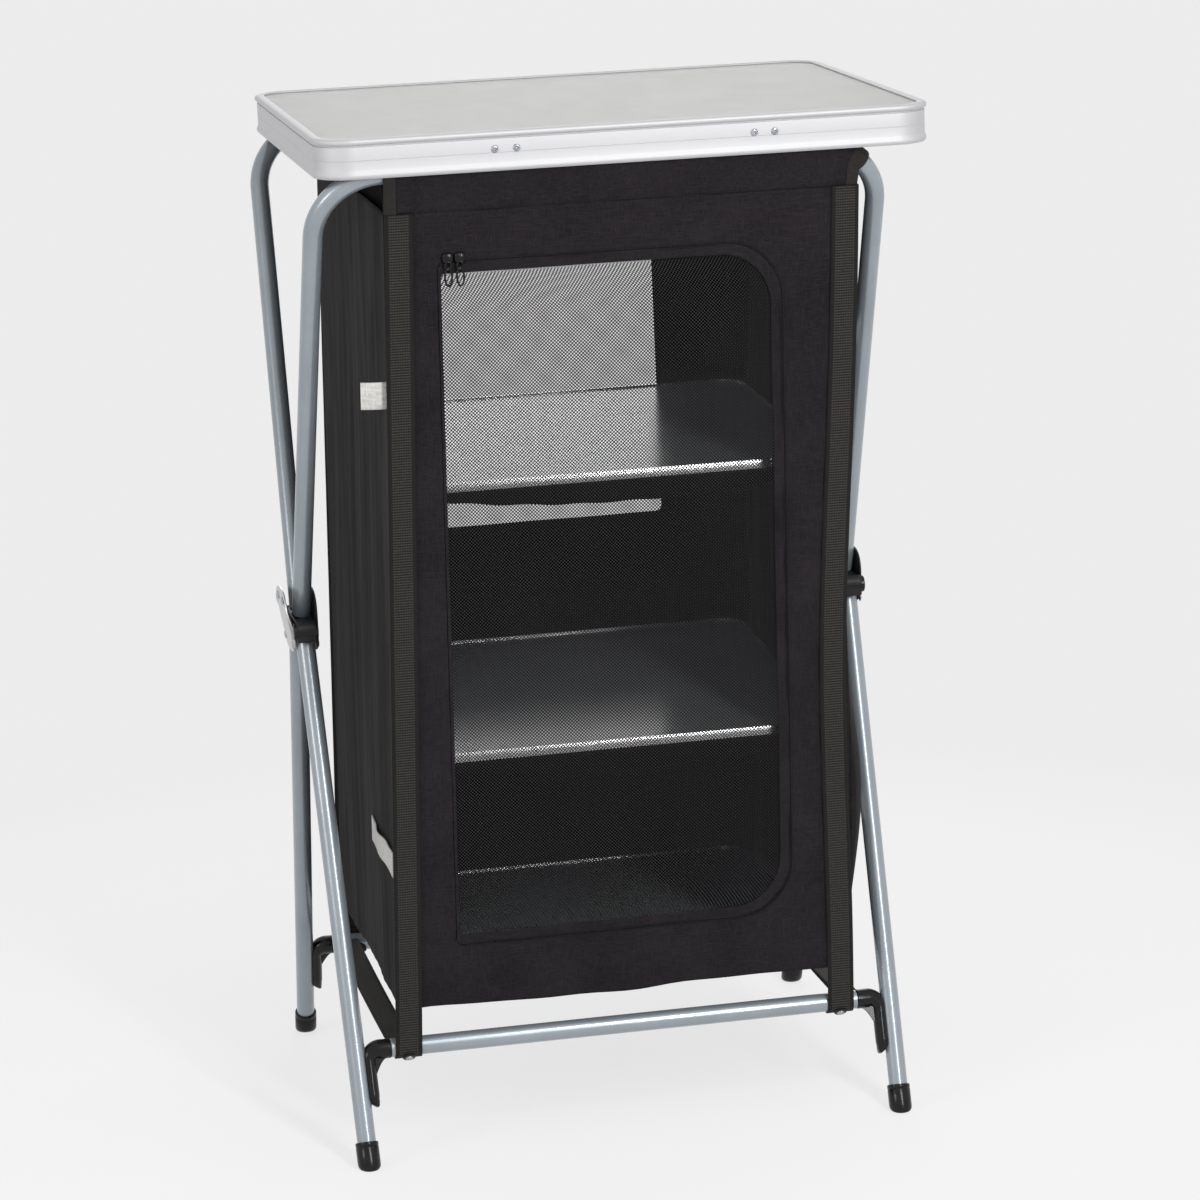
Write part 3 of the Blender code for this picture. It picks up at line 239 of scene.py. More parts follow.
def rounded_rectangle(half_width, half_length, radius, steps):
    """Corner centre + radius * (cos, sin), a quarter turn at each of the four corners."""
    angle = np.linspace(0, np.pi / 2, steps + 1) + np.arange(4)[:, None] * np.pi / 2
    centre_across = np.array([1, -1, -1, 1])[:, None] * (half_width - radius)
    centre_along = np.array([1, 1, -1, -1])[:, None] * (half_length - radius)
    corners = [centre_across + radius * np.cos(angle), centre_along + radius * np.sin(angle)]
    return np.stack(corners, axis=-1).reshape(-1, 2)


def rim(name, half_width, half_length, radius, profile, centre, finish, steps=20, slope=0.0):
    """Each (inset, rise) is one ring, a rounded rectangle smaller by the inset; then z += slope * y."""
    rings = []
    for inset, rise in profile:
        flat = rounded_rectangle(half_width - inset, half_length - inset, radius - inset, steps)
        rings.append(np.insert(flat, 2, rise, axis=1))
    rings = np.array(rings)
    rings[..., 2] += slope * rings[..., 1]
    return surface(name, rings + centre, finish, round_down=True, round_across=True)


def bow(centre, radii, start, end, steps):
    """Points on an ellipse: centre + radii * (cos, sin), with the angles in degrees."""
    angle = np.radians(np.linspace(start, end, steps + 1))
    return list(zip(centre[0] + radii[0] * np.cos(angle), centre[1] + radii[1] * np.sin(angle)))


# %% [markdown]
# ## Finishes
# Every finish is a node graph on the Principled shader. The patterns read Object coordinates, which are
# metres here, so a scale of 1000 means a speck of about a millimetre. A finish is a colour that varies a
# little, a roughness that varies a little, and a fine bump. Three helpers build that graph and each
# finish then is a few lines, which is easier to tune than a long list of nodes.
# %% Helpers for node graphs
def add(tree, kind, inputs=None, **settings):
    """Adds one node; an input that is a socket is linked and any other is set as its value."""
    made = tree.nodes.new(kind)
    for key, value in settings.items():
        setattr(made, key, value)
    for key, value in (inputs or {}).items():
        if isinstance(value, bpy.types.NodeSocket):
            tree.links.new(value, made.inputs[key])
        else:
            made.inputs[key].default_value = value
    return made


def start_finish(name, **constants):
    """A new material whose constant values sit on the Principled shader's own sockets."""
    material = bpy.data.materials.new(name)
    material.use_nodes = True
    tree = material.node_tree
    shader = tree.nodes["Principled BSDF"]
    for key, value in constants.items():
        shader.inputs[key.replace("_", " ")].default_value = value
    place = add(tree, "ShaderNodeTexCoord").outputs["Object"]
    return material, tree, shader, place


def grain(tree, place, scale, stretch=(1, 1, 1), detail=3.0, roughness=0.6):
    """Noise of a given scale; a stretch above one packs it closer along that axis."""
    mapped = add(tree, "ShaderNodeMapping", {"Vector": place, "Scale": stretch}).outputs["Vector"]
    inputs = {"Vector": mapped, "Scale": scale, "Detail": detail, "Roughness": roughness}
    return add(tree, "ShaderNodeTexNoise", inputs).outputs["Fac"]


def shade(tree, factor, dark, light, low=0.3, high=0.7):
    """A colour between dark and light as the factor goes from low to high."""
    ramp = add(tree, "ShaderNodeValToRGB", {"Fac": factor})
    for element, position, colour in zip(ramp.color_ramp.elements, (low, high), (dark, light)):
        element.position = position
        element.color = (*colour, 1.0)
    return ramp.outputs["Color"]


def between(tree, factor, low, high):
    """A number between low and high as the factor goes from 0 to 1."""
    return add(tree, "ShaderNodeMapRange", {"Value": factor, "To Min": low, "To Max": high}).outputs["Result"]


def combine(tree, operation, first, second):
    """One arithmetic step between two numbers."""
    made = add(tree, "ShaderNodeMath", operation=operation)
    for socket, value in zip(made.inputs, (first, second)):
        if isinstance(value, bpy.types.NodeSocket):
            tree.links.new(value, socket)
        else:
            socket.default_value = value
    return made.outputs["Value"]


def paint(tree, shader, colour, roughness):
    """Links a colour and a roughness to the shader."""
    tree.links.new(colour, shader.inputs["Base Color"])
    tree.links.new(roughness, shader.inputs["Roughness"])


def raise_bump(tree, shader, height, strength, distance):
    """Turns a height pattern into a bump on the shader's normal."""
    bump = add(tree, "ShaderNodeBump", {"Height": height, "Strength": strength, "Distance": distance})
    tree.links.new(bump.outputs["Normal"], shader.inputs["Normal"])


# %% [markdown]
# The tubes are powder coated: a satin blue-grey skin with the fine orange-peel surface that the powder
# leaves as it melts. It is paint, so it is hardly metallic, and its peel is a low bump of about a
# millimetre. The mouldings are black nylon, some of them glossy, and the feet are a harder rubber.
# %% Powder coat, mouldings and rubber
def powder_coat():
    """A colour in broad patches, a roughness in small ones, and an even peel of about a millimetre."""
    constants = {"Metallic": 0.35, "Coat_Weight": 0.6, "Coat_Roughness": 0.09}
    material, tree, shader, place = start_finish("powder_coat", **constants)
    colour = shade(tree, grain(tree, place, 18), (0.300, 0.345, 0.380), (0.345, 0.390, 0.425))
    paint(tree, shader, colour, between(tree, grain(tree, place, 60), 0.26, 0.36))
    raise_bump(tree, shader, grain(tree, place, 900, detail=1), 0.03, 0.0003)
    return material


def moulding(name, dark, light, low, high, peel):
    """Black nylon or rubber: colour from dark to light, roughness from low to high, and a fine peel."""
    material, tree, shader, place = start_finish(name, Specular_IOR_Level=0.28)
    colour = shade(tree, grain(tree, place, 120), dark, light)
    paint(tree, shader, colour, between(tree, grain(tree, place, 300), low, high))
    raise_bump(tree, shader, grain(tree, place, 1400, detail=2), peel, 0.0002)
    return material


tube_finish = powder_coat()
matt_black = moulding("black_moulding", (0.010, 0.010, 0.011), (0.018, 0.018, 0.019), 0.38, 0.55, 0.25)
gloss_black = moulding("black_moulding_gloss", (0.004, 0.004, 0.005), (0.008, 0.008, 0.009), 0.14, 0.22, 0.05)
foot_finish = moulding("foot_rubber", (0.004, 0.004, 0.005), (0.009, 0.009, 0.010), 0.16, 0.26, 0.08)

# %% [markdown]
# Bare metal shows how it was made. The bracket plate is rolled sheet with a brushed grain that runs one
# way, the worktop's edge and the shelf bands are extruded and anodised, with faint lines along their
# length. Both are the same noise, packed closer across the lines than along them, and only the stretch
# differs.
# %% Plate, aluminium and shelf band
def drawn_metal(name, dark, light, low, high, stretch, strength, metallic=0.9):
    """One stretched noise gives the colour, the roughness and the bump, so the lines agree."""
    material, tree, shader, place = start_finish(name, Metallic=metallic)
    lines = grain(tree, place, 30, stretch, detail=4)
    paint(tree, shader, shade(tree, lines, dark, light), between(tree, lines, low, high))
    raise_bump(tree, shader, lines, strength, 0.0001)
    return material


plate_metal = drawn_metal("bright_plate", (0.52, 0.52, 0.53), (0.66, 0.66, 0.67), 0.26, 0.40,
                          (1, 3, 40), 0.10)
edge_metal = drawn_metal("aluminium_edge", (0.610, 0.610, 0.626), (0.636, 0.636, 0.652), 0.56, 0.64,
                         (1, 1, 90), 0.03, 0.55)
band_metal = drawn_metal("shelf_band", (0.93, 0.93, 0.93), (0.97, 0.97, 0.97), 0.22, 0.30,
                         (1, 1, 60), 0.03, 0.95)
screw_metal = drawn_metal("screw_metal", (0.30, 0.32, 0.35), (0.52, 0.54, 0.57), 0.22, 0.34,
                          (20, 20, 20), 0.05)

# %% [markdown]
# The worktop is a laminate board in a pale grey-green with a very fine printed grain, and it is half
# matt. The shelves are dark slate boards, smooth enough to mirror the light from the window behind
# them. Their colour is a much paler grey, which is painted light for the dim inside of the cabinet. Noise
# does
# both: fine pale specks on the laminate, and a nearly plain, smooth slate.
# %% Laminate and slate boards
def laminate():
    """Specks = the mean of a fine grain and a broad one."""
    material, tree, shader, place = start_finish("laminate_panel", Specular_IOR_Level=0.12)
    speck = combine(tree, "ADD", grain(tree, place, 700, (1, 2.5, 1), detail=4), grain(tree, place, 9))
    speck = combine(tree, "MULTIPLY", speck, 0.5)
    colour = shade(tree, speck, (0.530, 0.536, 0.518), (0.562, 0.568, 0.550))
    paint(tree, shader, colour, between(tree, grain(tree, place, 40), 0.42, 0.55))
    raise_bump(tree, shader, grain(tree, place, 1300, detail=3), 0.12, 0.0002)
    return material


def slate():
    """A nearly plain pale colour under a thin smooth coat. The paleness is painted light, not the slate's own
    dark grey.
    """
    constants = {"Specular_IOR_Level": 0.5, "Coat_Weight": 0.25, "Coat_Roughness": 0.12}
    material, tree, shader, place = start_finish("slate_board", **constants)
    # A pale grey, far lighter than the dark slate: painted light for the dim inside of the cabinet.
    colour = shade(tree, grain(tree, place, 14), (0.345, 0.385, 0.395), (0.375, 0.415, 0.425))
    paint(tree, shader, colour, between(tree, grain(tree, place, 50), 0.16, 0.30))
    raise_bump(tree, shader, grain(tree, place, 1100, detail=2), 0.06, 0.0002)
    return material


panel_finish = laminate()
board_finish_with_painted_light = slate()

# %% [markdown]
# The cabinet is a plain woven polyester: black with a slightly warm cast, matt, and a little lighter
# where dust and handling lie. Each thread is under half a millimetre, so the weave is two sets of
# stretched noise, one packed along the height and one across it, and the higher of the two wins, as it
# does where threads cross. Sheen gives the soft edge that fibres have against the light. The side walls
# are a darker copy of the cloth, which is painted shade. Long pale lines run along their folds as painted
# highlights: they lie where a slow stretched noise passes its middle value.
# %% Cloth, felt and thread
def threads(tree, place, fine, coarse):
    """The higher of two stretched noises: one runs up and down, the other from side to side."""
    warp = grain(tree, place, 1.0, (fine, fine, coarse), detail=2)
    weft = grain(tree, place, 1.0, (coarse, coarse, fine), detail=2)
    return combine(tree, "MAXIMUM", warp, weft)


def painted_fold_highlights(tree, place):
    """Painted fold highlight = (1 - 14 * |noise - 1/2|, not below 0) * a second noise that breaks it up."""
    slow = grain(tree, place, 1.0, (14, 14, 1.6), detail=1)
    away = combine(tree, "ABSOLUTE", combine(tree, "SUBTRACT", slow, 0.5), 0.0)
    ridge = combine(tree, "SUBTRACT", 1.0, combine(tree, "MULTIPLY", away, 14.0))
    ridge = combine(tree, "MAXIMUM", ridge, 0.0)
    return combine(tree, "MULTIPLY", ridge, grain(tree, place, 1.0, (30, 30, 4)))


def woven(name, dark, light, fine=1100, strength=0.6, sheen=0.05, fold_highlights=0.0):
    """Colour = 0.72 * weave + 0.28 * slow dust, with painted fold highlights added where they are asked for.
    """
    constants = {"Sheen_Weight": sheen, "Sheen_Roughness": 0.5, "Specular_IOR_Level": 0.04}
    material, tree, shader, place = start_finish(name, **constants)
    weave = threads(tree, place, fine, 90)
    dust = combine(tree, "MULTIPLY", grain(tree, place, 14), 0.28)
    tone = combine(tree, "ADD", combine(tree, "MULTIPLY", weave, 0.72), dust)
    if fold_highlights:
        tone = combine(tree, "ADD", tone, combine(tree, "MULTIPLY", painted_fold_highlights(tree, place), fold_highlights))
    paint(tree, shader, shade(tree, tone, dark, light, 0.38, 0.68), between(tree, weave, 0.72, 0.92))
    raise_bump(tree, shader, weave, strength, 0.0004)
    return material


cloth = woven("cloth", (0.0115, 0.0100, 0.0115), (0.0300, 0.0262, 0.0300))
# The side walls' cloth is darker than the front's, which is painted shade. Its pale fold lines are painted
# highlights.
side_cloth_painted_shade = woven("cloth_side", (0.0015, 0.0014, 0.0015), (0.0240, 0.0218, 0.0232), fold_highlights=0.60)
# The roof and slings use the same cloth with a still darker colour: painted shade for the inside of the
# cabinet.
inner_cloth_painted_shade = woven("cloth_inside", (0.0025, 0.0022, 0.0025), (0.0070, 0.0062, 0.0068))
smooth_tape = woven("smooth_tape", (0.0170, 0.0155, 0.0150), (0.0400, 0.0370, 0.0340), 2500, 0.3, 0.15)
felt = woven("felt", (0.55, 0.54, 0.51), (0.88, 0.87, 0.83), 420, 1.0, 0.4)
thread = woven("thread", (0.020, 0.018, 0.019), (0.034, 0.031, 0.032), 4000, 0.3, 0.1)

# %% [markdown]
# Webbing is a tape: fine ribs lie across it, each broken into dots by the threads that cross it, and a
# smooth selvedge closes both edges. The ribs must follow the strap as it hooks under the bar, so this
# finish reads the strap's own UV map, which holds metres: a sine along the length gives the ribs, one
# across it the dots, and the distance from the middle says where the selvedge starts. The net reads the
# same kind of map. Its holes are a diamond lattice: two sines at 45 degrees are added, and where the sum
# is low there is a hole, which makes it round. The window's net has thinner threads than the door's.
# %% Webbing and net
rib_pitch = 0.0026
dot_pitch = 0.0024
ribbed_half_width = 0.0098
net_pitch = 0.0024
wave_period = math.tau / 20


def stripes(tree, vector, pitch, turn=0.0):
    """A sine from 0 to 1 with the given pitch in metres, across bands turned by an angle."""
    mapped = add(tree, "ShaderNodeMapping", {"Vector": vector, "Rotation": (0, 0, turn)}).outputs["Vector"]
    inputs = {"Vector": mapped, "Scale": wave_period / pitch}
    return add(tree, "ShaderNodeTexWave", inputs, bands_direction="X").outputs["Fac"]


def metres_map(tree):
    """The piece's own UV map: metres across it and along it."""
    return add(tree, "ShaderNodeUVMap", uv_map="metres").outputs["UV"]


def webbing_finish():
    """Tone = half of (ribs * dots inside the selvedge + grain)."""
    material, tree, shader, place = start_finish("webbing", Sheen_Weight=0.05, Specular_IOR_Level=0.3)
    metres = metres_map(tree)
    across = add(tree, "ShaderNodeSeparateXYZ", {"Vector": metres}).outputs["X"]
    inside = combine(tree, "LESS_THAN", combine(tree, "ABSOLUTE", across, 0.0), ribbed_half_width)
    ribs = combine(tree, "MULTIPLY", stripes(tree, metres, rib_pitch, math.pi / 2), inside)
    dots = combine(tree, "MULTIPLY", ribs, between(tree, stripes(tree, metres, dot_pitch), 0.25, 1.0))
    tone = combine(tree, "MULTIPLY", combine(tree, "ADD", dots, grain(tree, place, 500)), 0.5)
    colour = shade(tree, tone, (0.007, 0.0063, 0.0058), (0.060, 0.054, 0.044), 0.28, 0.85)
    paint(tree, shader, colour, between(tree, ribs, 0.80, 0.60))
    raise_bump(tree, shader, ribs, 0.9, 0.0005)
    return material


def net_finish(name, least, most, thin=0.0, thick=1.0):
    """Cover goes from thin to thick as the sum of the two sines goes from least to most."""
    material, tree, shader, place = start_finish(name, Roughness=0.6, Specular_IOR_Level=0.1)
    metres = metres_map(tree)
    rising, falling = (stripes(tree, metres, net_pitch, way * math.pi / 4) for way in (1, -1))
    lattice = combine(tree, "ADD", rising, falling)
    reach = {"Value": lattice, "From Min": least, "From Max": most, "To Min": thin, "To Max": thick}
    cover = add(tree, "ShaderNodeMapRange", reach).outputs["Result"]
    # The threads are lighter towards their crossings: a painted highlight on the threads.
    tone = combine(tree, "MULTIPLY", lattice, 0.5)
    colour = shade(tree, tone, (0.003, 0.003, 0.003), (0.040, 0.038, 0.040), 0.52, 0.85)
    tree.links.new(colour, shader.inputs["Base Color"])
    tree.links.new(cover, shader.inputs["Alpha"])
    raise_bump(tree, shader, lattice, 0.4, 0.0004)
    return material


webbing = webbing_finish()
door_mesh = net_finish("net", 0.70, 1.05)
window_mesh = net_finish("net_window", 0.90, 1.60, 0.10, 0.30)
coil_black = moulding("zip_coil", (0.008, 0.008, 0.009), (0.016, 0.016, 0.017), 0.30, 0.45, 0.10)
print("finishes", len(bpy.data.materials))

# %% [markdown]
# ## The tube frame
# Two bent tubes carry the top: each rises from the left bracket, turns through a 65 mm bend, crosses the
# width and comes down to the right bracket. A swept circle on that path is smooth where the solid has 14
# sides. The path is worked out in its own plane, which leans from the brackets to the bar: straight
# stretches join arcs whose tangents match them.
# %% The two bent top tubes
tube_end_beyond_pin = 0.0165
bend_steps = 28
lip = 0.0004
bore_depth = 0.02


def fillet(before, corner, after, radius, steps):
    """Arc centre + radius * (cos * start arm + sin * turned arm), touching both straight stretches."""
    back, ahead = unit(before - corner), unit(after - corner)
    half = np.arccos(np.clip(back @ ahead, -1, 1)) / 2
    centre = corner + unit(back + ahead) * radius / np.sin(half)
    start = unit(corner + back * radius / np.tan(half) - centre)
    turn = np.linspace(0, np.pi - 2 * half, steps + 1)[:, None]
    points = centre + radius * (np.cos(turn) * start - np.sin(turn) * back)
    tangents = -np.sin(turn) * start - np.cos(turn) * back
    return points, tangents


def top_bar_path(end):
    """Both arcs and the straight stretches between them, as points and tangents."""
    corner = np.array([upper_bar_x, end * upper_bar_y, upper_bar_z])
    pin = np.array([pin_x, end * upper_pin[0], upper_pin[1]])
    tip = pin + unit(pin - corner) * tube_end_beyond_pin
    mirror = np.array([-1.0, 1, 1])
    left, left_way = fillet(tip * mirror, corner * mirror, corner, bend_radius, bend_steps)
    right, right_way = fillet(corner * mirror, corner, tip, bend_radius, bend_steps)
    first, last = unit(left[0] - tip * mirror), unit(tip - right[-1])
    path = np.vstack([tip * mirror, left, right, tip])
    ways = np.vstack([first, left_way, right_way, last])
    return path, ways


def hollow_ends(path, ways, radius, wall, depth=bore_depth, edge=lip):
    """The path with its ends turned in: a rounded lip, then the bore for a short way."""
    first, last = path[0], path[-1]
    start = np.vstack([first + depth * ways[0], first, first, first + edge * ways[0]])
    stop = np.vstack([last - edge * ways[-1], last, last, last - depth * ways[-1]])
    full = np.vstack([start, path[1:-1], stop])
    turns = np.vstack([np.repeat(ways[:1], 3, 0), ways, np.repeat(ways[-1:], 3, 0)])
    sizes = np.array([radius - wall, radius - wall, radius - edge])
    widths = np.concatenate([sizes, np.full(len(path), radius), sizes[::-1]])
    return full, turns, widths


sides = ((-1, "left"), (1, "right"))
ends = ((-1, "front"), (1, "back"))
for end, word in ends:
    path, ways = top_bar_path(end)
    normal = unit(np.cross(ways[0], (1.0, 0, 0)))
    full, turns, widths = hollow_ends(path, ways, tube_radius, tube_wall)
    tube = swept("top_tube_" + word, full, turns, normal, widths, tube_finish, 48)
    wear(tube, "upper_" + word, "powder_coated_tube", "upper_" + word + "_tube")
print("top tube from", path[0].round(4), "to", path[-1].round(4))

# %% [markdown]
# The lower frames are straight: two legs that splay out to the feet, and a cross tube near the floor.
# Straight tubes are turned shapes, so their profile is a few pairs of distance and radius: out of the
# bore, round the lip, along the wall and back in at the other end.
# %% Legs and lower bars
leg_end_above_floor = 0.0045
leg_end_beyond_pin = 0.009
fit = 0.0003


def tube_profile(length):
    """Distance and radius from inside one end, over the outside, to inside the other end."""
    inner = tube_radius - tube_wall
    near = [(bore_depth, inner), (0.0, inner), (0.0, tube_radius - lip), (lip, tube_radius)]
    return near + [(length - distance, radius) for distance, radius in near[::-1]]


def leg_point(side, end, z):
    """A place on a leg's axis, on a straight line from the bracket's pin to the foot."""
    share = (lower_pin[1] - z) / lower_pin[1]
    return np.array([side * (pin_x + (foot_x - pin_x) * share),
                     end * (lower_pin[0] + (foot_y - lower_pin[0]) * share), z])


def leg_way(side, end):
    """The direction up the leg, from the foot to the pin."""
    return unit(leg_point(side, end, lower_pin[1]) - leg_point(side, end, 0.0))


for end, word in ends:
    for side, name in sides:
        pin, foot = leg_point(side, end, lower_pin[1]), leg_point(side, end, 0.0)
        along = leg_way(side, end)
        start = foot + along * leg_end_above_floor
        length = np.linalg.norm(pin + along * leg_end_beyond_pin - start)
        leg = turned("leg_" + word + "_" + name, start, along, tube_profile(length), tube_finish, 48)
        wear(leg, "lower_" + word, "powder_coated_tube", "lower_" + word + "_leg_" + name)
    bar_end = lower_leg_x - elbow_reach - fit
    bar = turned("low_bar_" + word, (-bar_end, end * lower_bar_y, lower_bar_z), (1, 0, 0),
                 tube_profile(2 * bar_end), tube_finish, 48)
    wear(bar, "lower_" + word, "powder_coated_tube", "lower_" + word + "_bar")
print("leg length", round(float(length), 4), "bar length", round(2 * bar_end, 4))

# %% [markdown]
# Each foot is a black cup pushed over the leg, level below so that it stands flat although the leg leans.
# The wall is turned round the leg's axis, with a bead near its top. Its lowest rings, a quarter round,
# are level: each point slides along the axis until it has that ring's height above the floor.
# %% Foot cups
foot_radius = 0.0116
foot_height = 0.027
foot_inner_radius = tube_radius + 0.0002
mouth_shape = [(0.0, 0.0010), (0.0004, 0.0003), (0.0012, 0.0), (0.0040, 0.0), (0.0046, 0.0004), (0.0052, 0.0)]
sole_shape = [(0.0046, 0.0), (0.0024, 0.0005), (0.0009, 0.0016), (0.0002, 0.0032), (0.0, 0.0050)]


def foot_cup(side, end, name):
    """Point = foot + along * distance + radius * (cos, sin); the sole's rings are level with the floor."""
    foot, along = leg_point(side, end, 0.0), leg_way(side, end)
    across = unit(np.cross(along, (0, 1.0, 0)))
    up = np.cross(along, across)
    angle = np.linspace(0, 2 * np.pi, 48, endpoint=False)[:, None]
    ring = np.cos(angle) * across + np.sin(angle) * up
    profile = [(foot_height - 0.004, foot_inner_radius), (foot_height, foot_inner_radius)]
    profile += [(foot_height - below, foot_radius - inset) for below, inset in mouth_shape]
    rows = [foot + along * distance + ring * radius for distance, radius in profile]
    for rise, inset in sole_shape:
        wall = foot + ring * (foot_radius - inset)
        rows.append(wall + along * ((rise - wall[:, 2:]) / along[2]))
    return surface(name, np.array(rows), foot_finish, round_across=True, caps=True)


for end, word in ends:
    for side, name in sides:
        cup = foot_cup(side, end, "foot_cup_" + word + "_" + name)
        wear(cup, "lower_" + word, "foot_rubber", "foot_" + word + "_" + name)
print("feet stand at", leg_point(1, 1, 0.0).round(4))

# %% [markdown]
# ## Moulded hubs
# Between the two plates of each bracket sits a moulded hub, on which the tubes rest when the frame is
# open. Its solid already has that form with hard edges. A copy of the solid, merged, rebuilt as even
# small squares by the Remesh modifier and then smoothed, turns every hard edge into the small round edge
# that a mould gives, which no single grid could do. A glossy barrel on each side of the hub closes it.
# %% Soft copies of the hubs, and their barrels
def soft_copy(node, name, finish, voxel=0.0009, rounds=6):
    """A copy of a solid with its doubles merged, rebuilt as even squares and smoothed."""
    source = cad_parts[node]
    mesh = source.data.copy()
    shell = bmesh.new()
    shell.from_mesh(mesh)
    bmesh.ops.remove_doubles(shell, verts=shell.verts, dist=1e-5)
    shell.to_mesh(mesh)
    shell.free()
    piece = bpy.data.objects.new(name, mesh)
    bpy.context.scene.collection.objects.link(piece)
    remesh = piece.modifiers.new("even", "REMESH")
    remesh.mode = "VOXEL"
    remesh.voxel_size = voxel
    smooth = piece.modifiers.new("smooth", "SMOOTH")
    smooth.factor = 0.5
    smooth.iterations = rounds
    graph = bpy.context.evaluated_depsgraph_get()
    rebuilt = bpy.data.meshes.new_from_object(piece.evaluated_get(graph))
    piece.modifiers.clear()
    piece.data = rebuilt
    rebuilt.materials.clear()
    rebuilt.materials.append(finish)
    rebuilt.shade_smooth()
    return piece


barrel_y, barrel_z, barrel_radius, barrel_edge = 0.0380, 0.5105, 0.0085, 0.0006
barrel_start, barrel_length = pin_x - 0.0115, 0.025
almost_nothing = 1e-5
barrel_profile = [(0, almost_nothing), (0, barrel_radius - barrel_edge), (barrel_edge, barrel_radius),
                  (barrel_length - barrel_edge, barrel_radius),
                  (barrel_length, barrel_radius - barrel_edge), (barrel_length, almost_nothing)]
for side, name in sides:
    node = "bracket_hub_" + name
    wear(soft_copy(node, "moulded_hub_" + name, matt_black), "base", "black_moulding", node)
    for end, word in ends:
        start = (side * barrel_start, end * barrel_y, barrel_z)
        barrel = turned(f"hub_barrel_{word}_{name}", start, (side, 0, 0), barrel_profile, gloss_black)
        wear(barrel, "base", "black_moulding_gloss")
print("barrels", len(sides) * len(ends))

# %% [markdown]
# ## Moulded elbows
# An elbow joins a lower bar to its leg. Its arm is as round as the bar; it bends down beside the leg and
# becomes a saddle, which is oval and ends in a rounded tip. So it is one swept form: the path is a quarter
# turn between two straight stretches, and the section changes from the arm's circle to the saddle's oval
# on the way. A thin web stiffens the corner between them.
# %% Elbows and their webs
bend = 0.0105
arm_radius = tube_radius + 0.0004
saddle_place, saddle_height, saddle_width = 0.0120, 0.0068, 0.0088
saddle_top, saddle_low = -0.014, -0.048
tip_rings = ((-0.0515, 0.0052, 0.90), (-0.0540, 0.0038, 0.80))
tip_rings += ((-0.0556, 0.0028, 0.70), (-0.0560, 0.0018, 0.55))


def elbow_axes(side, end):
    """Where the bar's axis meets the leg's, and the directions up the leg, inwards and across both."""
    along, inward = leg_way(side, end), np.array([-side, 0.0, 0.0])
    return leg_point(side, end, lower_bar_z), along, inward, unit(np.cross(along, inward))


def elbow_form(side, end, name, turns=14, round_steps=40):
    """Ring = place in from the leg and along it + height * cos + width * sin."""
    middle, along, inward, depth = elbow_axes(side, end)
    angle = np.linspace(np.pi / 2, np.pi, turns + 1)
    share = np.linspace(0, 1, turns + 1)
    rows = [(elbow_reach, 0, arm_radius - 0.0007, arm_radius - 0.0007),
            (elbow_reach - 0.0006, 0, arm_radius, arm_radius)]
    rows += list(zip(saddle_place + bend * (1 + np.cos(angle)), bend * (np.sin(angle) - 1),
                     arm_radius + (saddle_height - arm_radius) * share,
                     arm_radius + (saddle_width - arm_radius) * share))
    lows = np.linspace(saddle_top, saddle_low, 8)
    rows += [(saddle_place, low, saddle_height, saddle_width) for low in lows]
    tip = saddle_place + saddle_height
    rows += [(tip - height, low, height, saddle_width * width) for low, height, width in tip_rings]
    inwards, down, high, wide = np.array(rows).T[..., None]
    steps = np.gradient(np.stack([inwards, down], axis=-1), axis=0)
    turn = np.arctan2(steps[..., 1], steps[..., 0])
    ring = np.linspace(0, 2 * np.pi, round_steps, endpoint=False)[None, :]
    rise, out = high * np.cos(ring), wide * np.sin(ring)
    first, second = inwards - rise * np.sin(turn), down + rise * np.cos(turn)
    points = middle + first[..., None] * inward + second[..., None] * along + out[..., None] * depth
    return surface(name, points, gloss_black, round_across=True, caps=True)


web_start, web_run = elbow_reach - 0.005, elbow_reach - 0.0235
web_top, web_drop, web_height = -0.004, -0.0095, 0.015


def elbow_web(side, end, name, half=0.003, edge=0.0008):
    """A thin wedge; its free edge goes in as share ^ 0.8 and down as share ^ 1.3, a hollow curve."""
    middle, along, inward, depth = elbow_axes(side, end)
    share = np.linspace(0, 1, 15)
    curve = np.stack([web_start - web_run * share ** 0.8, web_drop - web_height * share ** 1.3], -1)
    top = [(saddle_place, web_top), (web_start, web_top)]
    flat = np.vstack([top, curve, [(saddle_place, web_drop - web_height)]])
    inset = flat + (flat.mean(axis=0) - flat) * 0.04
    rings = [middle + ring[:, :1] * inward + ring[:, 1:] * along + way * depth
             for ring, way in ((inset, -half), (flat, edge - half), (flat, half - edge), (inset, half))]
    return surface(name, np.array(rings), gloss_black, round_across=True, caps=True)


for end, word in ends:
    for side, name in sides:
        node = "elbow_" + word + "_" + name
        moulded = elbow_form(side, end, "moulded_" + node)
        wear(moulded, "lower_" + word, "black_moulding_gloss", node)
        wear(elbow_web(side, end, "web_" + node), "lower_" + word, "black_moulding_gloss")
print("points in one elbow", len(moulded.data.vertices))

# %% [markdown]
# ## Side brackets
# Each bracket is a pair of leaf-shaped plates with the four tube ends pinned between them. The leaf is
# a superellipse: an ellipse whose sides bulge towards a rectangle. Its edge is a small rounded profile
# carried round that outline. The left bracket's outer plate is bright steel and a little sprung: its top
# leans out by a smooth step. The other plates are black. The pins are riveted, so each shows a low dome.
# %% Bracket plates and rivets
plate_half_width = 0.036
plate_half_heights = {"left": 0.032, "right": 0.0285}
plate_leans = {"left": 0.0070, "right": 0.0}
lean_start, lean_reach = -0.012, 0.030
plate_power = 2 / 3.0
plate_thickness = 0.002
plate_edge = 0.0006
plate_gap = 0.0012
outer_plate_x = pin_x + tube_radius + plate_gap
inner_plate_x = pin_x - tube_radius - plate_gap - plate_thickness


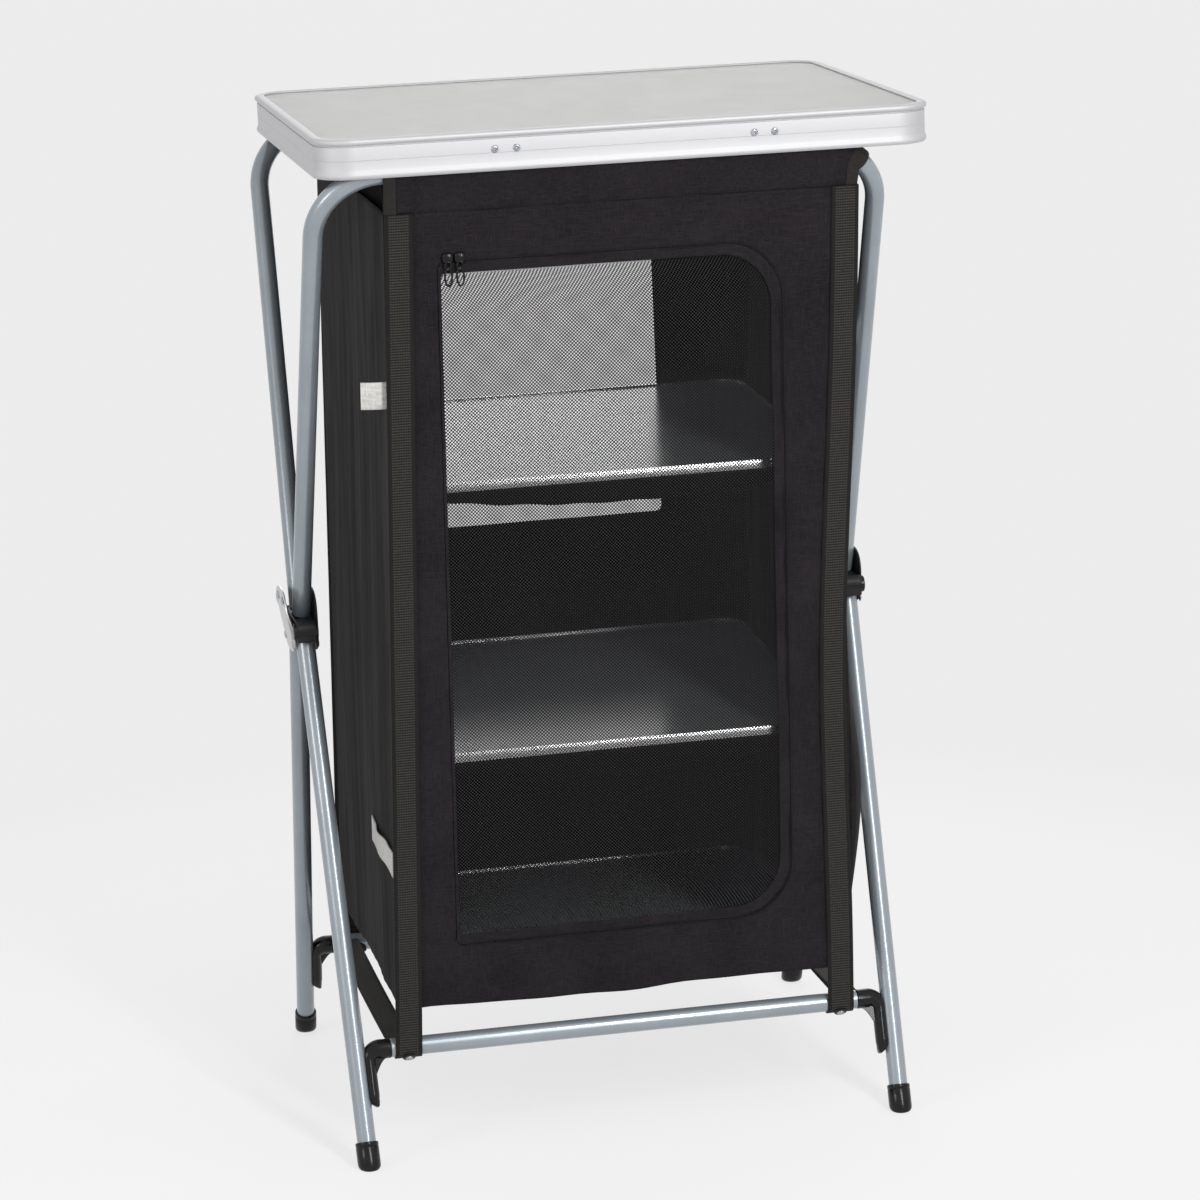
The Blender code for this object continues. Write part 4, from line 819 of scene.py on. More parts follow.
def leaf_plate(name, side, low_x, finish, high, lean=0.0):
    """Outline = half size * sign(cos) * |cos| ^ (2/3), the same with sin; out += lean * smooth step."""
    angle = np.linspace(0, 2 * np.pi, 120, endpoint=False)
    wave = np.stack([np.cos(angle), np.sin(angle)], axis=-1)
    leaf = np.sign(wave) * np.abs(wave) ** plate_power
    edge = plate_edge
    profile = [(edge, 0), (edge * 0.3, edge * 0.3), (0, edge), (0, plate_thickness - edge),
               (edge * 0.3, plate_thickness - edge * 0.3), (edge, plate_thickness)]
    rings = []
    for inset, depth in profile:
        outline = leaf * (plate_half_width - inset, high - inset)
        step = np.clip((outline[:, 1] - lean_start) / lean_reach, 0, 1)
        out = low_x + depth + lean * step * step * (3 - 2 * step)
        rings.append(np.column_stack([side * out, outline[:, 0], bracket_z + outline[:, 1]]))
    return surface(name, np.array(rings), finish, round_across=True, caps=True)


def rivet(name, side, x, y, z, radius, height):
    """A low dome: radius * cos and height * sin of an angle from the rim to the middle."""
    angle = np.linspace(0, np.pi / 2, 9)
    profile = [(0.0, radius * 0.6), (0.0, radius)]
    dome = height * (0.3 + 0.7 * np.sin(angle))
    profile += list(zip(dome, np.maximum(radius * np.cos(angle), almost_nothing)))
    return turned(name, (side * x, y, z), (side, 0, 0), profile, screw_metal, 28)


pin_places = [(end * y, z) for y, z in (upper_pin, lower_pin) for end in (-1, 1)]
outer_finishes = {"left": plate_metal, "right": matt_black}
for side, name in sides:
    lean, height = plate_leans[name], plate_half_heights[name]
    outer = leaf_plate("plate_outside_" + name, side, outer_plate_x, outer_finishes[name], height, lean)
    wear(outer, "base", "bright_plate", "bracket_outer_" + name)
    inner = leaf_plate("plate_inside_" + name, side, inner_plate_x, matt_black, height)
    wear(inner, "base", "black_moulding", "bracket_inner_" + name)
    for number, (y, z) in enumerate(pin_places):
        out = outer_plate_x + plate_thickness + (lean if z > bracket_z else 0.0)
        wear(rivet(f"rivet_{name}_{number}", side, out, y, z, 0.0046, 0.0016), "base", "bright_plate")
        tail = rivet(f"rivet_tail_{name}_{number}", -side, -inner_plate_x, y, z, 0.0040, 0.0012)
        wear(tail, "base", "bright_plate")
print("plates", 2 * plate_half_width, "wide, rivets", len(sides) * 2 * len(pin_places))

# %% [markdown]
# ## Worktop
# The worktop's edge is one aluminium extrusion bent round the board: a proud bead on top, a groove, a
# flat band with a fine line along it, and a lip that flares at the bottom. The whole edge is that one
# profile carried round a rounded rectangle, so its corners stay as crisp as its sides. The board inside
# keeps its solid and only gets its finish.
# %% Worktop edge, board and clips
worktop_corner = 0.038
edge_profile = [(0.0088, 0.0), (0.0034, 0.0)]
edge_profile += bow((0.0030, -0.0030), (0.0030, 0.0030), 100, 250, 10)
edge_profile += [(0.0034, -0.0061), (0.0035, -0.0073), (0.0021, -0.0077), (0.0020, -0.0082)]
edge_profile += [(0.0020, -0.0202), (0.0023, -0.0205), (0.0020, -0.0208), (0.0020, -0.0288)]
edge_profile += bow((0.0046, -0.0342), (0.0042, 0.0042), 140, 235, 6)
edge_profile += [(0.0030, -0.0370), (0.0038, -0.0362), (0.0038, -0.0115), (0.0110, -0.0115)]
edge_profile += [(0.0110, -0.0104), (0.0040, -0.0104), (0.0040, -0.0015)]
edge_profile += [(0.0095, -0.0015), (0.0095, -0.0004)]
top_centre = (worktop_middle_x, 0, worktop_height)
edge = rim("worktop_rim", worktop_half_width, worktop_half_depth, worktop_corner, edge_profile, top_centre,
           edge_metal)
wear(edge, "worktop", "aluminium_edge", "worktop_edge")


def refinish(node, finish):
    """A solid whose shape is right keeps its mesh and gets a better material."""
    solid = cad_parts[node]
    solid.data.materials.clear()
    solid.data.materials.append(finish)


refinish("worktop_panel", panel_finish)
for end, word in ends:
    for side, name in sides:
        refinish("worktop_clip_" + word + "_" + name, matt_black)
print("rim profile points", len(edge_profile))

# %% [markdown]
# Eight small pan-head screws hold the clips to the edge, four in front and four behind, in two pairs. A
# pan head is a turned shape: a cone-shaped recess, a rounded shoulder, and a rim that sits on the band.
# %% Screws in the worktop's edge
screw_drop = 0.017
screw_places = (-0.130, -0.109, 0.121, 0.141)
screw_sink = 0.0002
band_inset = 0.0020


def pan_head(name, place, way, radius=0.0036, height=0.0015):
    """Recess, rounded shoulder and rim, as distance and radius along the screw's axis."""
    angle = np.linspace(0, np.pi / 2, 6)
    recess = [(height * 0.15, almost_nothing), (height * 0.20, radius * 0.30), (height, radius * 0.45)]
    shoulder = list(zip(height - radius * 0.4 * (1 - np.cos(angle)), radius * (0.55 + 0.45 * np.sin(angle))))
    rim_end = [(-screw_sink, radius), (-screw_sink, radius * 0.5)]
    return turned(name, place, way, recess + shoulder + rim_end, screw_metal, 24)


for end, word in ends:
    for number, x in enumerate(screw_places):
        place = (worktop_middle_x + x, end * (worktop_half_depth - band_inset), worktop_height - screw_drop)
        wear(pan_head(f"edge_screw_{word}_{number}", place, (0, end, 0)), "worktop", "bright_plate")
print("screws at", [round(worktop_middle_x + x, 3) for x in screw_places])

# %% [markdown]
# ## Shelves
# A shelf is a thin slate board with a bright band round its edge. The band is a narrow profile carried
# round the board's rounded rectangle, a little taller than the board, so that a line of light runs
# round each shelf even behind the net. The upper two shelves rise towards the back, so their bands take
# the same slope. The boards keep their solids.
# %% Shelf bands and boards
shelf_slopes = {"upper": 0.041, "middle": 0.068, "lower": 0.0}
shelf_heights = {}
for level in shelf_slopes:
    low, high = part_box("shelf_" + level)
    shelf_heights[level] = (low.z + high.z) / 2
shelf_half_width = cabinet_half_width - 0.0185
shelf_half_depth = cabinet_bottom_y - 0.0065
shelf_corner = 0.028
band_half_height = 0.0047
band_side = band_half_height - 0.0005
band_profile = [(0.0004, band_half_height), (0.0, band_side), (0.0, -band_side), (0.0004, -band_half_height)]
band_profile += [(0.0026, -band_half_height), (0.0026, -0.0033)]
band_profile += [(0.0016, -0.0033), (0.0016, band_half_height)]
for level, z in shelf_heights.items():
    refinish("shelf_" + level, board_finish_with_painted_light)
    band = rim("shelf_band_" + level, shelf_half_width, shelf_half_depth, shelf_corner, band_profile,
               (float(centre_x(z)), 0, z), band_metal, 14, shelf_slopes[level])
    wear(band, "shelf_" + level, "shelf_band", "shelf_" + level + "_edging")
print("shelves at", {level: round(z, 3) for level, z in shelf_heights.items()})

# %% [markdown]
# ## Cloth walls
# The walls are single sheets of cloth. Each is a grid of points in the wall's plane, pushed in or out
# by a formula for its folds: slow waves that hang down from the corners, small gathers under the sleeve
# seam where the cloth was pulled together, and faint drag lines. The folds fade out at the edges, where
# the walls are sewn to each other, and a Solidify modifier gives the sheet its thickness. The right wall
# is slack and stands out beside its front strap.
# %% Side walls
wall_fold = 0.0035
wall_inset = 0.0008
seam_room = 0.0011
bulge_sizes = {-1: 0.0, 1: 0.024}
bulge_z, bulge_height, bulge_share, bulge_width, bulge_rise = 0.325, 0.130, -0.88, 0.20, 0.06


def thicken(piece, thickness=cloth_thickness):
    """Gives an open sheet its thickness, the same on both sides of the drawn surface."""
    solid = piece.modifiers.new("thickness", "SOLIDIFY")
    solid.thickness = thickness
    solid.offset = 0.0
    return piece


def bulge(side, share, z):
    """Out by size * (1 - e^-way from the front edge) * e^-(squares of the distances in height and depth)."""
    rise = 1 - np.exp(-(1 + share) / bulge_rise)
    away = ((z - bulge_z) / bulge_height) ** 2 + ((share - bulge_share) / bulge_width) ** 2
    return bulge_sizes[side] * rise * np.exp(-away)


def side_x(side, share, z, small=0.0, lift=0.0):
    """Out = half width - fold * fade * (1.2 + waves) + bulge + lift; the waves lean as hanging folds do."""
    down = drop_share(z)
    slow = 0.5 * np.sin(5.5 * share + 1.4 * down) + 0.25 * np.sin(13.0 * share - 2.0 * down)
    slack = 0.45 * np.sin(6.5 * down + 2.2 * share) * np.exp(-((share + 0.1) / 0.6) ** 2)
    fold = wall_fold * (1 - share ** 4) * (1.2 + 0.55 * (slow + slack + small))
    return centre_x(z) + side * (cabinet_half_width - wall_inset - fold + bulge(side, share, z) + lift)


def side_wall(side, name):
    """The wall's formula with small gathers and the crumple under the top seam."""
    z = np.linspace(cabinet_bottom_z, cabinet_top_z, 150)[:, None]
    share = np.linspace(-1, 1, 110)[None, :]
    down = drop_share(z)
    gathers = 0.10 * np.sin(47 * share + 6 * down + 2 * np.sin(7 * down))
    gathers = gathers * (0.3 + 0.7 * np.sin(5 * down) ** 2)
    crumple = 0.12 * np.exp(-down / 0.05) * np.sin(60 * share + 3 * np.sin(9 * share))
    x = side_x(side, share, z, gathers + crumple)
    points = np.stack([x, share * (half_depth(z) - seam_room), z + 0 * x], axis=-1)
    wall = thicken(surface("cloth_side_" + name, points, side_cloth_painted_shade))
    return wear(wall, "base", "cloth", name + "_wall")


side_walls = [side_wall(side, name) for side, name in sides]
print("side wall", [round(v, 3) for v in side_walls[0].dimensions])

# %% [markdown]
# ## The front wall and its door opening
# The front is one sheet with the door cut out of it, so its grid runs round the opening: the first row
# follows the door's outline, the last the wall's own outline, and the rows between are blends of both.
# Each outline is a rounded rectangle whose left and right sides may lean, drawn with the same number of
# points per side and per corner, so that corner meets corner.
# %% Outlines with leaning sides
door_top_z = cabinet_top_z - 0.040
door_bottom_z = cabinet_bottom_z + 0.056
door_left_top_x = cabinet_top_x - cabinet_half_width + 0.0495
door_left_bottom_x = cabinet_bottom_x - cabinet_half_width + 0.0618
door_right_x = cabinet_bottom_x + cabinet_half_width - 0.0490
door_border = 0.019
zip_inset = 0.0085
seam_inset = 0.0030
door_radii = (0.012, 0.062, 0.062, 0.012)


def side_run(start, stop, steps):
    """Points from start to stop without the last one."""
    share = np.linspace(0, 1, steps, endpoint=False)[:, None]
    return start + (stop - start) * share


def outline(low, high, radii, corner_steps=14, side_steps=(30, 60)):
    """A rectangle from low to high, with a quarter turn of its own radius at each corner."""
    corners = np.array([(low[0], low[1]), (high[0], low[1]), (high[0], high[1]), (low[0], high[1])], float)
    inward = np.array([(1, 1), (-1, 1), (-1, -1), (1, -1)], float)
    arcs = []
    for index, radius in enumerate(radii):
        angle = np.linspace(0, np.pi / 2, corner_steps + 1) + math.pi + index * math.pi / 2
        ring = np.stack([np.cos(angle), np.sin(angle)], axis=-1)
        arcs.append(corners[index] + inward[index] * radius + radius * ring)
    runs = []
    for index, arc in enumerate(arcs):
        runs.append(arc[:-1])
        runs.append(side_run(arc[-1], arcs[(index + 1) % 4][0], side_steps[index % 2]))
    return np.vstack(runs)


def door_left(z):
    """The door's left seam, on a straight line between its top and bottom places."""
    share = (door_top_z - z) / (door_top_z - door_bottom_z)
    return door_left_top_x + (door_left_bottom_x - door_left_top_x) * share


def door_edge(inset, left_inset=None):
    """The door's outline moved in by the inset, by another at its left; its left side leans with the seam."""
    left_inset = inset if left_inset is None else left_inset
    width = door_right_x - door_left_bottom_x - inset - left_inset
    radii = [max(radius - inset * 0.6, 0.004) for radius in door_radii]
    flat = outline((0, door_bottom_z + inset), (width, door_top_z - inset), radii)
    x, z = flat.T
    lean = (door_left(z) - door_left_bottom_x) * (1 - x / width)
    return np.column_stack([door_left_bottom_x + left_inset + x + lean, z])


def wall_edge(inset=wall_inset, corner=0.0015):
    """The wall's own outline: it leans with the cabinet's middle."""
    half = cabinet_half_width - inset
    flat = outline((-half, cabinet_bottom_z), (half, cabinet_top_z), (corner,) * 4)
    return np.column_stack([flat[:, 0] + centre_x(flat[:, 1]), flat[:, 1]])


def blend_rows(first, last, shares):
    """Row = first * (1 - share) + last * share, for each share."""
    shares = np.asarray(shares)[:, None, None]
    return first * (1 - shares) + last * shares


print("door", round(door_left_top_x, 3), "to", round(door_right_x, 3), "outline points", len(door_edge(0)))

# %% [markdown]
# The front hangs almost flat. Small gathers stand under the sleeve seam, where the top was pulled onto
# the bar; the hem at the bottom is free and waves a little; and between the straps the cloth drags in
# shallow diagonal lines. All of it is one formula of the width and the height, and no fold is deeper
# than two or three millimetres.
# %% Front wall
def front_relief(x, z):
    """Out of the plane: gathers that fade below the seam, drag lines, and a hem that swings at the bottom."""
    below = cabinet_top_z - z
    above = z - cabinet_bottom_z
    gathers = 0.0008 * np.sin(2 * np.pi * x / 0.016 + 2.5 * np.sin(31 * x)) * np.exp(-below / 0.014)
    drag = 0.0006 * np.sin(2 * np.pi * (x * 0.6 + z) / 0.075 + 2 * np.sin(12 * z))
    drag = drag * (1 - np.exp(-below / 0.03))
    hem = 0.0016 * np.sin(2 * np.pi * x / 0.13 + 1.0) * np.exp(-above / 0.03)
    calm = np.clip((cabinet_half_width - np.abs(x - centre_x(z))) / 0.03, 0, 1)
    return (gathers + drag + hem) * calm


def hem_drop(x, z):
    """The hem's own edge sags in one long wave and a small one, by two millimetres."""
    above = np.clip((z - cabinet_bottom_z) / 0.045, 0, 1)
    wave = np.sin(2 * np.pi * x / 0.31 + 2.2) + 0.3 * np.sin(2 * np.pi * x / 0.087 + 1)
    return -0.0016 * (1 - above) ** 2 * wave


def on_front(flat, lift=0.0):
    """Places x, z on the front wall's leaning plane, with its relief and a lift outwards."""
    x, z = flat[..., 0], flat[..., 1]
    y = -half_depth(z) - front_relief(x, z) - lift
    return np.stack([x, y, z + hem_drop(x, z)], axis=-1)


door_gap = 0.0006
opening = door_edge(zip_inset - door_gap, -door_gap)
front_rows = blend_rows(opening, wall_edge(), np.linspace(0, 1, 26) ** 1.1)
front_wall = thicken(surface("cloth_front", on_front(front_rows), cloth, round_across=True))
wear(front_wall, "front_cloth", "cloth", "front_wall")
print("front wall", [round(v, 3) for v in front_wall.dimensions])

# %% [markdown]
# The back is the same sheet of cloth with a net window in its upper half instead of a door. Its grid
# runs round the window in the same way. The window's net is a second sheet, sewn behind the opening.
# %% Back wall and window net
window_low_z = cabinet_bottom_z + (cabinet_top_z - cabinet_bottom_z) * 0.505
window_high_z = cabinet_bottom_z + (cabinet_top_z - cabinet_bottom_z) * 0.923
window_left_x = cabinet_top_x - cabinet_half_width + 0.093
window_right_x = cabinet_top_x + cabinet_half_width - 0.112
window_corner = 0.006


def on_back(flat, lift=0.0):
    """Places x, z on the back wall's leaning plane, with shallow hanging folds."""
    x, z = flat[..., 0], flat[..., 1]
    fold = 0.0009 * np.sin(2 * np.pi * x / 0.12 + 3 * drop_share(z))
    calm = np.clip((cabinet_half_width - np.abs(x - centre_x(z))) / 0.04, 0, 1)
    calm = calm * np.clip((z - cabinet_bottom_z) / 0.1, 0, 1) * np.clip(drop_share(z) / 0.05, 0, 1)
    return np.stack([x, half_depth(z) + fold * calm + lift, z], axis=-1)


window_edge = outline((window_left_x, window_low_z), (window_right_x, window_high_z), (window_corner,) * 4)
back_rows = blend_rows(window_edge, wall_edge(), np.linspace(0, 1, 24))
back_wall = thicken(surface("cloth_back", on_back(back_rows), cloth, round_across=True))
wear(back_wall, "back_cloth", "cloth", "back_wall")

seam_lap = 0.004
net_depth = 0.0010
window_x = np.linspace(window_left_x - seam_lap, window_right_x + seam_lap, 50)
window_z = np.linspace(window_low_z - seam_lap, window_high_z + seam_lap, 60)
window_flat = np.stack(np.meshgrid(window_x, window_z), axis=-1)
window_net = surface("net_window", on_back(window_flat, -net_depth), window_mesh)
wear(window_net, "back_cloth", "net", "window_net")
print("window", [round(v, 3) for v in window_net.dimensions])

# %% [markdown]
# ## The door
# The door is a net panel with a cloth border, sewn to the front along its left side and closed by a zip
# round the other three. The border is a ring between two outlines. The net lies just behind it: each row
# of its grid runs from one side of an outline to the other, so the rounded corners come out of the
# outline itself. The net is limp and pulls into long slanting creases. A narrow tape behind the left
# seam is the door's hinge and keeps light from coming through.
# %% Door border and net
def door_crease(x, z):
    """Two waves that cross on the slant and fade to nothing near the door's edges."""
    across = np.clip((x - door_left(z)) / 0.03, 0, 1) * np.clip((door_right_x - x) / 0.03, 0, 1)
    along = np.clip((z - door_bottom_z) / 0.03, 0, 1) * np.clip((door_top_z - z) / 0.03, 0, 1)
    first = np.sin(2 * np.pi * (x * 1.5 + z * 0.75) / 0.17 + 1.5 * np.sin(7 * z))
    second = 0.5 * np.sin(2 * np.pi * (x * 0.9 - z * 0.7) / 0.11 + 2)
    return 0.0016 * across * along * (first + second)


def on_door(flat, lift=0.0):
    """Places x, z on the door: the front wall's plane with the door's own creases."""
    x, z = flat[..., 0], flat[..., 1]
    return np.stack([x, -half_depth(z) - door_crease(x, z) - lift, z], axis=-1)


def span(edge, z, rightmost):
    """Where an outline crosses a height, on its left or right: read between its points."""
    middle = edge[:, 0].mean()
    half = edge[(edge[:, 0] > middle) == rightmost]
    half = half[np.argsort(half[:, 1])]
    return np.interp(z, half[:, 1], half[:, 0])


border_rows = blend_rows(door_edge(zip_inset, 0), door_edge(door_border, seam_inset), np.linspace(0, 1, 7))
border = thicken(surface("door_frame_cloth", on_door(border_rows), cloth, round_across=True), 0.0016)
wear(border, "door", "cloth", "door_border")

net_lap, net_left_inset = 0.003, 0.001
net_edge = door_edge(door_border - net_lap, net_left_inset)
net_z = np.linspace(net_edge[:, 1].min() + almost_nothing, net_edge[:, 1].max() - almost_nothing, 150)
net_left, net_right = span(net_edge, net_z, False), span(net_edge, net_z, True)
across = np.linspace(0, 1, 80)
net_x = net_left[:, None] * (1 - across) + net_right[:, None] * across
net_flat = np.stack([net_x, net_z[:, None] + 0 * net_x], axis=-1)
door_net = surface("net_door", on_door(net_flat, -net_depth), door_mesh)
wear(door_net, "door", "net", "door_net")

hinge_tape_width, hinge_tape_depth, hinge_tape_thickness = 0.0036, 0.0024, 0.0006
hinge_z = np.linspace(door_bottom_z + door_radii[0], door_top_z - door_radii[3], 60)[:, None]
hinge_x = door_left(hinge_z) + hinge_tape_width * np.linspace(-0.5, 0.5, 5)[None, :]
hinge_line = on_front(np.stack([hinge_x, hinge_z + 0 * hinge_x], axis=-1), -hinge_tape_depth)
hinge_tape = thicken(surface("door_hinge_tape", hinge_line, cloth), hinge_tape_thickness)
wear(hinge_tape, "front_cloth", "cloth")
print("door net", [round(v, 3) for v in door_net.dimensions])

# %% [markdown]
# ## Inside the cabinet
# A cloth roof closes the cabinet under the worktop. Under each shelf hangs a cloth sling from wall to
# wall, whose front edge droops below the board. The roof is a level grid that sinks like a blanket held
# at its four edges. A sling has its shelf's slope, and its flap hangs in a bow, lowest in the middle.
# %% Roof and slings
roof_drop = 0.0035
roof_sag = 0.005
roof_pucker = 0.0006
sling_room = 0.0027
wall_room = wall_fold * 2.2 + 0.0032
sling_drop = band_half_height + 0.0011
sling_depth = {"upper": 0.0125, "middle": 0.0125, "lower": 0.008}


def roof_sheet():
    """Height = top - sag * (1 - across^2) * (1 - along^2), with a few shallow puckers."""
    z = cabinet_top_z - roof_drop
    u, v = np.meshgrid(np.linspace(-1, 1, 60), np.linspace(-1, 1, 60))
    x = centre_x(z) + u * (cabinet_half_width - wall_room)
    y = v * (half_depth(z) - seam_room)
    pucker = roof_pucker * np.sin(22 * u + 4 * v) * (1 - u ** 4) * (1 - v ** 4)
    sink = roof_sag * (1 - u ** 2) * (1 - v ** 2) + pucker
    return thicken(surface("cloth_roof", np.stack([x, y, z - sink], axis=-1), inner_cloth_painted_shade))


def sling_sheet(level):
    """A sheet under the board; its front rows turn down into a flap that bows; then z += slope * y."""
    z = shelf_heights[level] - sling_drop
    back = half_depth(z) - sling_room
    turn = 0.003
    front = max(-shelf_half_depth - turn, -back)
    u = np.linspace(-1, 1, 80)[None, :]
    down = np.linspace(1, 0, 16)[:, None]
    bow_share = np.clip(1 - ((u - 0.05) / 0.85) ** 2, 0, 1)
    flap = 0.006 + sling_depth[level] * bow_share
    flap_z = z - down * flap - turn / 3 + 0.0006 * np.sin(26 * u) * down
    flap_y = front + 0.0007 * np.sin(17 * u + 2 * down) * down + 0 * u
    level_share = np.linspace(0, 1, 40)[:, None]
    level_y = front + turn + (back - front - turn) * level_share + 0 * u
    level_z = z - 0.0006 * (1 - np.cos(2 * np.pi * level_share)) * (1 - u ** 4)
    x = centre_x(z) + u * (cabinet_half_width - wall_room)
    y = np.vstack([flap_y, level_y])
    height = np.vstack([flap_z, level_z]) + shelf_slopes[level] * y
    return thicken(surface("cloth_sling_" + level, np.stack([x + 0 * y, y, height], axis=-1), inner_cloth_painted_shade))


roof = roof_sheet()
wear(roof, "base", "cloth", "roof")
slings = []
for level, node in (("upper", "sling_upper"), ("middle", "sling_middle"), ("lower", "cabinet_floor")):
    sling = sling_sheet(level)
    slings.append(wear(sling, "base", "cloth", node))
print("slings", [[round(v, 3) for v in sling.dimensions] for sling in slings])

# %% [markdown]
# ## The sleeves on the top bars
# The cabinet hangs from two sleeves. Each wraps its bar, comes together at a seam below it, and at its
# right end runs round the bend of the tube. So the grid goes along the bar's path, through the bend, and
# each row is a cross-section: up from the seam, round the tube, and down again. Gathers are a ripple in
# the radius that is strongest near the seam. Inside, a facing hangs down behind the wall, which keeps
# the joint closed when the frame folds. A smooth tape is sewn over each end of the sleeve.
# %% Sleeve cross-sections along the bar
sleeve_radius = tube_radius + 0.0006 + 0.00075
sleeve_start_x = cabinet_top_x - cabinet_half_width + 0.0003
sleeve_bend_share = 0.5
sleeve_fold = 0.0016
gather_height, gather_pitch = 0.0005, 0.019
seam_z = cabinet_top_z + 0.0003
seam_end_x = cabinet_top_x + cabinet_half_width - 0.0025
facing_length = 0.055
facing_half_width = 0.222
facing_depth = 0.0020


def bar_stations(end, straight=150, bend=40):
    """Centre, forward direction and inward direction along the bar and into its right bend."""
    corner = np.array([upper_bar_x, end * upper_bar_y, upper_bar_z])
    pin = np.array([pin_x, end * upper_pin[0], upper_pin[1]])
    along, down = np.array([1.0, 0, 0]), unit(pin - corner)
    half = np.arccos(-along @ down) / 2
    begin = corner - along * bend_radius / np.tan(half)
    inward = unit(down - along * (down @ along))
    run = np.linspace(sleeve_start_x, begin[0], straight)[:, None]
    centres = np.hstack([run, np.full_like(run, begin[1]), np.full_like(run, begin[2])])
    turn = (np.pi - 2 * half) * sleeve_bend_share * np.linspace(0, 1, bend + 1)[1:, None]
    forward = np.cos(turn) * along + np.sin(turn) * inward
    across = np.cos(turn) * inward - np.sin(turn) * along
    bent = begin + inward * bend_radius - across * bend_radius
    centres = np.vstack([centres, bent])
    forward = np.vstack([np.repeat(along[None], straight, 0), forward])
    across = np.vstack([np.repeat(inward[None], straight, 0), across])
    return centres, forward, across, begin[0]


def sleeve_grid(end, lift=0.0, wrap_steps=30):
    """Seam, straight rise, wrap round the tube, and straight down inside to the seam again."""
    centres, forward, across, straight_end = bar_stations(end)
    into = np.clip((centres[:, :1] - straight_end) / (centres[-1, 0] - straight_end), 0, 1)
    seam_x = np.minimum(centres[:, :1], straight_end) + into * (seam_end_x - straight_end)
    outward = np.cross(forward, across) * end
    round_share = np.linspace(0, 1, wrap_steps)[None, :]
    angle = np.radians(4 - 24 * into + (218 + 48 * into) * round_share)[..., None]
    way = length_along(centres)[:, None, None]
    near_seam = np.exp(-round_share[..., None] / 0.35)
    ripple = gather_height * np.sin(2 * np.pi * way / gather_pitch + 2.2 * np.sin(way / 0.031)) * near_seam
    toward = outward[:, None] * np.cos(angle) - across[:, None] * np.sin(angle)
    wrap = centres[:, None] + toward * (sleeve_radius + lift + ripple)
    seam_y = end * (half_depth(seam_z) + 0.0007 + lift)
    seam = np.hstack([seam_x, np.full_like(seam_x, seam_y), np.full_like(seam_x, seam_z)])[:, None]
    inner = seam - np.array([0, end * (sleeve_fold + 2 * lift), 0])
    rise = np.linspace(0, 1, 9)[None, 1:-1, None]
    first = seam * (1 - rise) + wrap[:, :1] * rise
    last = wrap[:, -1:] * (1 - rise) + inner * rise
    return np.concatenate([seam, first, wrap, last, inner], axis=1)


def facing_grid(end, tail, rows=13):
    """The last line of the sleeve's grid, repeated down the inside of the wall."""
    drop_z = tail[:, 2] - np.arange(1, rows + 1)[:, None] / rows * facing_length
    inside = end * (half_depth(drop_z) - facing_depth)
    tail_x = np.clip(tail[:, 0], cabinet_top_x - facing_half_width, cabinet_top_x + facing_half_width)
    return np.stack([np.broadcast_to(tail_x, drop_z.shape), inside, drop_z], axis=-1).transpose(1, 0, 2)


tape_lift, tape_thickness, front_columns, middle_row, top_column = 0.0010, 0.0007, 30, 60, 15
for end, word in ends:
    grid = sleeve_grid(end)
    whole = np.concatenate([grid, facing_grid(end, grid[:, -1])], axis=1)
    sleeve = thicken(surface("cloth_sleeve_" + word, whole, cloth))
    length = float(length_along(grid[:, top_column])[-1])
    girth = float(length_along(grid[middle_row])[-1]) + facing_length
    wear(sleeve, "upper_" + word, "cloth", word + "_sleeve")
    over = sleeve_grid(end, tape_lift)[:, :front_columns]
    for name, part in (("left", over[:5]), ("right", over[-14:])):
        tape = thicken(surface(f"sleeve_tape_{word}_{name}", part, smooth_tape), tape_thickness)
        wear(tape, "upper_" + word, "webbing")
print("sleeve", round(girth, 3), "by", round(length, 3))

# %% [markdown]
# ## Straps, belts and tabs
# Ribbed webbing takes the load: a strap down each corner of the front and back, hooked under the lower
# bar, and a belt across each side between the elbows. A strap is a flat strip carried along its path,
# with its width along X, so its UV map gives the width and the length in metres and the ribs follow it.
# A screw with a washer holds the strap's end to the underside of the bar.
# %% Webbing strips
webbing_width = 0.025
webbing_thickness = 0.0016
strap_top_x = cabinet_half_width - 0.0140
strap_bottom_x = cabinet_half_width - 0.0075
strap_lift = wall_inset + fit + webbing_thickness / 2
strap_draw_in, strap_draw_z, strap_draw_reach = 0.0110, 0.48, 0.25
strap_spread = 1.07
washer_depth, washer_way = 0.0016, math.radians(-48)
washer = [(0, almost_nothing), (0, 0.0062), (0.0008, 0.0066)]
washer += [(washer_depth, 0.0058), (0.0018, almost_nothing)]
strap_turn, belt_turn = (8, -190), (205, 150)


def hook(radius, start, stop, steps):
    """Part of a turn round the lower bar's axis, as y and z; 0 degrees looks away from the object."""
    angle = np.radians(np.linspace(start, stop, steps))
    return np.stack([lower_bar_y + radius * np.cos(angle), lower_bar_z + radius * np.sin(angle)], axis=-1)


def strip(name, path, width, finish, thickness=webbing_thickness, columns=7):
    """Each point of the path spreads over the width along X, and Solidify gives the thickness."""
    wide = np.broadcast_to(np.asarray(width, float), len(path))[:, None, None]
    across = np.linspace(-0.5, 0.5, columns)[None, :, None] * np.array([1.0, 0, 0]) * wide
    return thicken(surface(name, path[:, None] + across, finish), thickness)


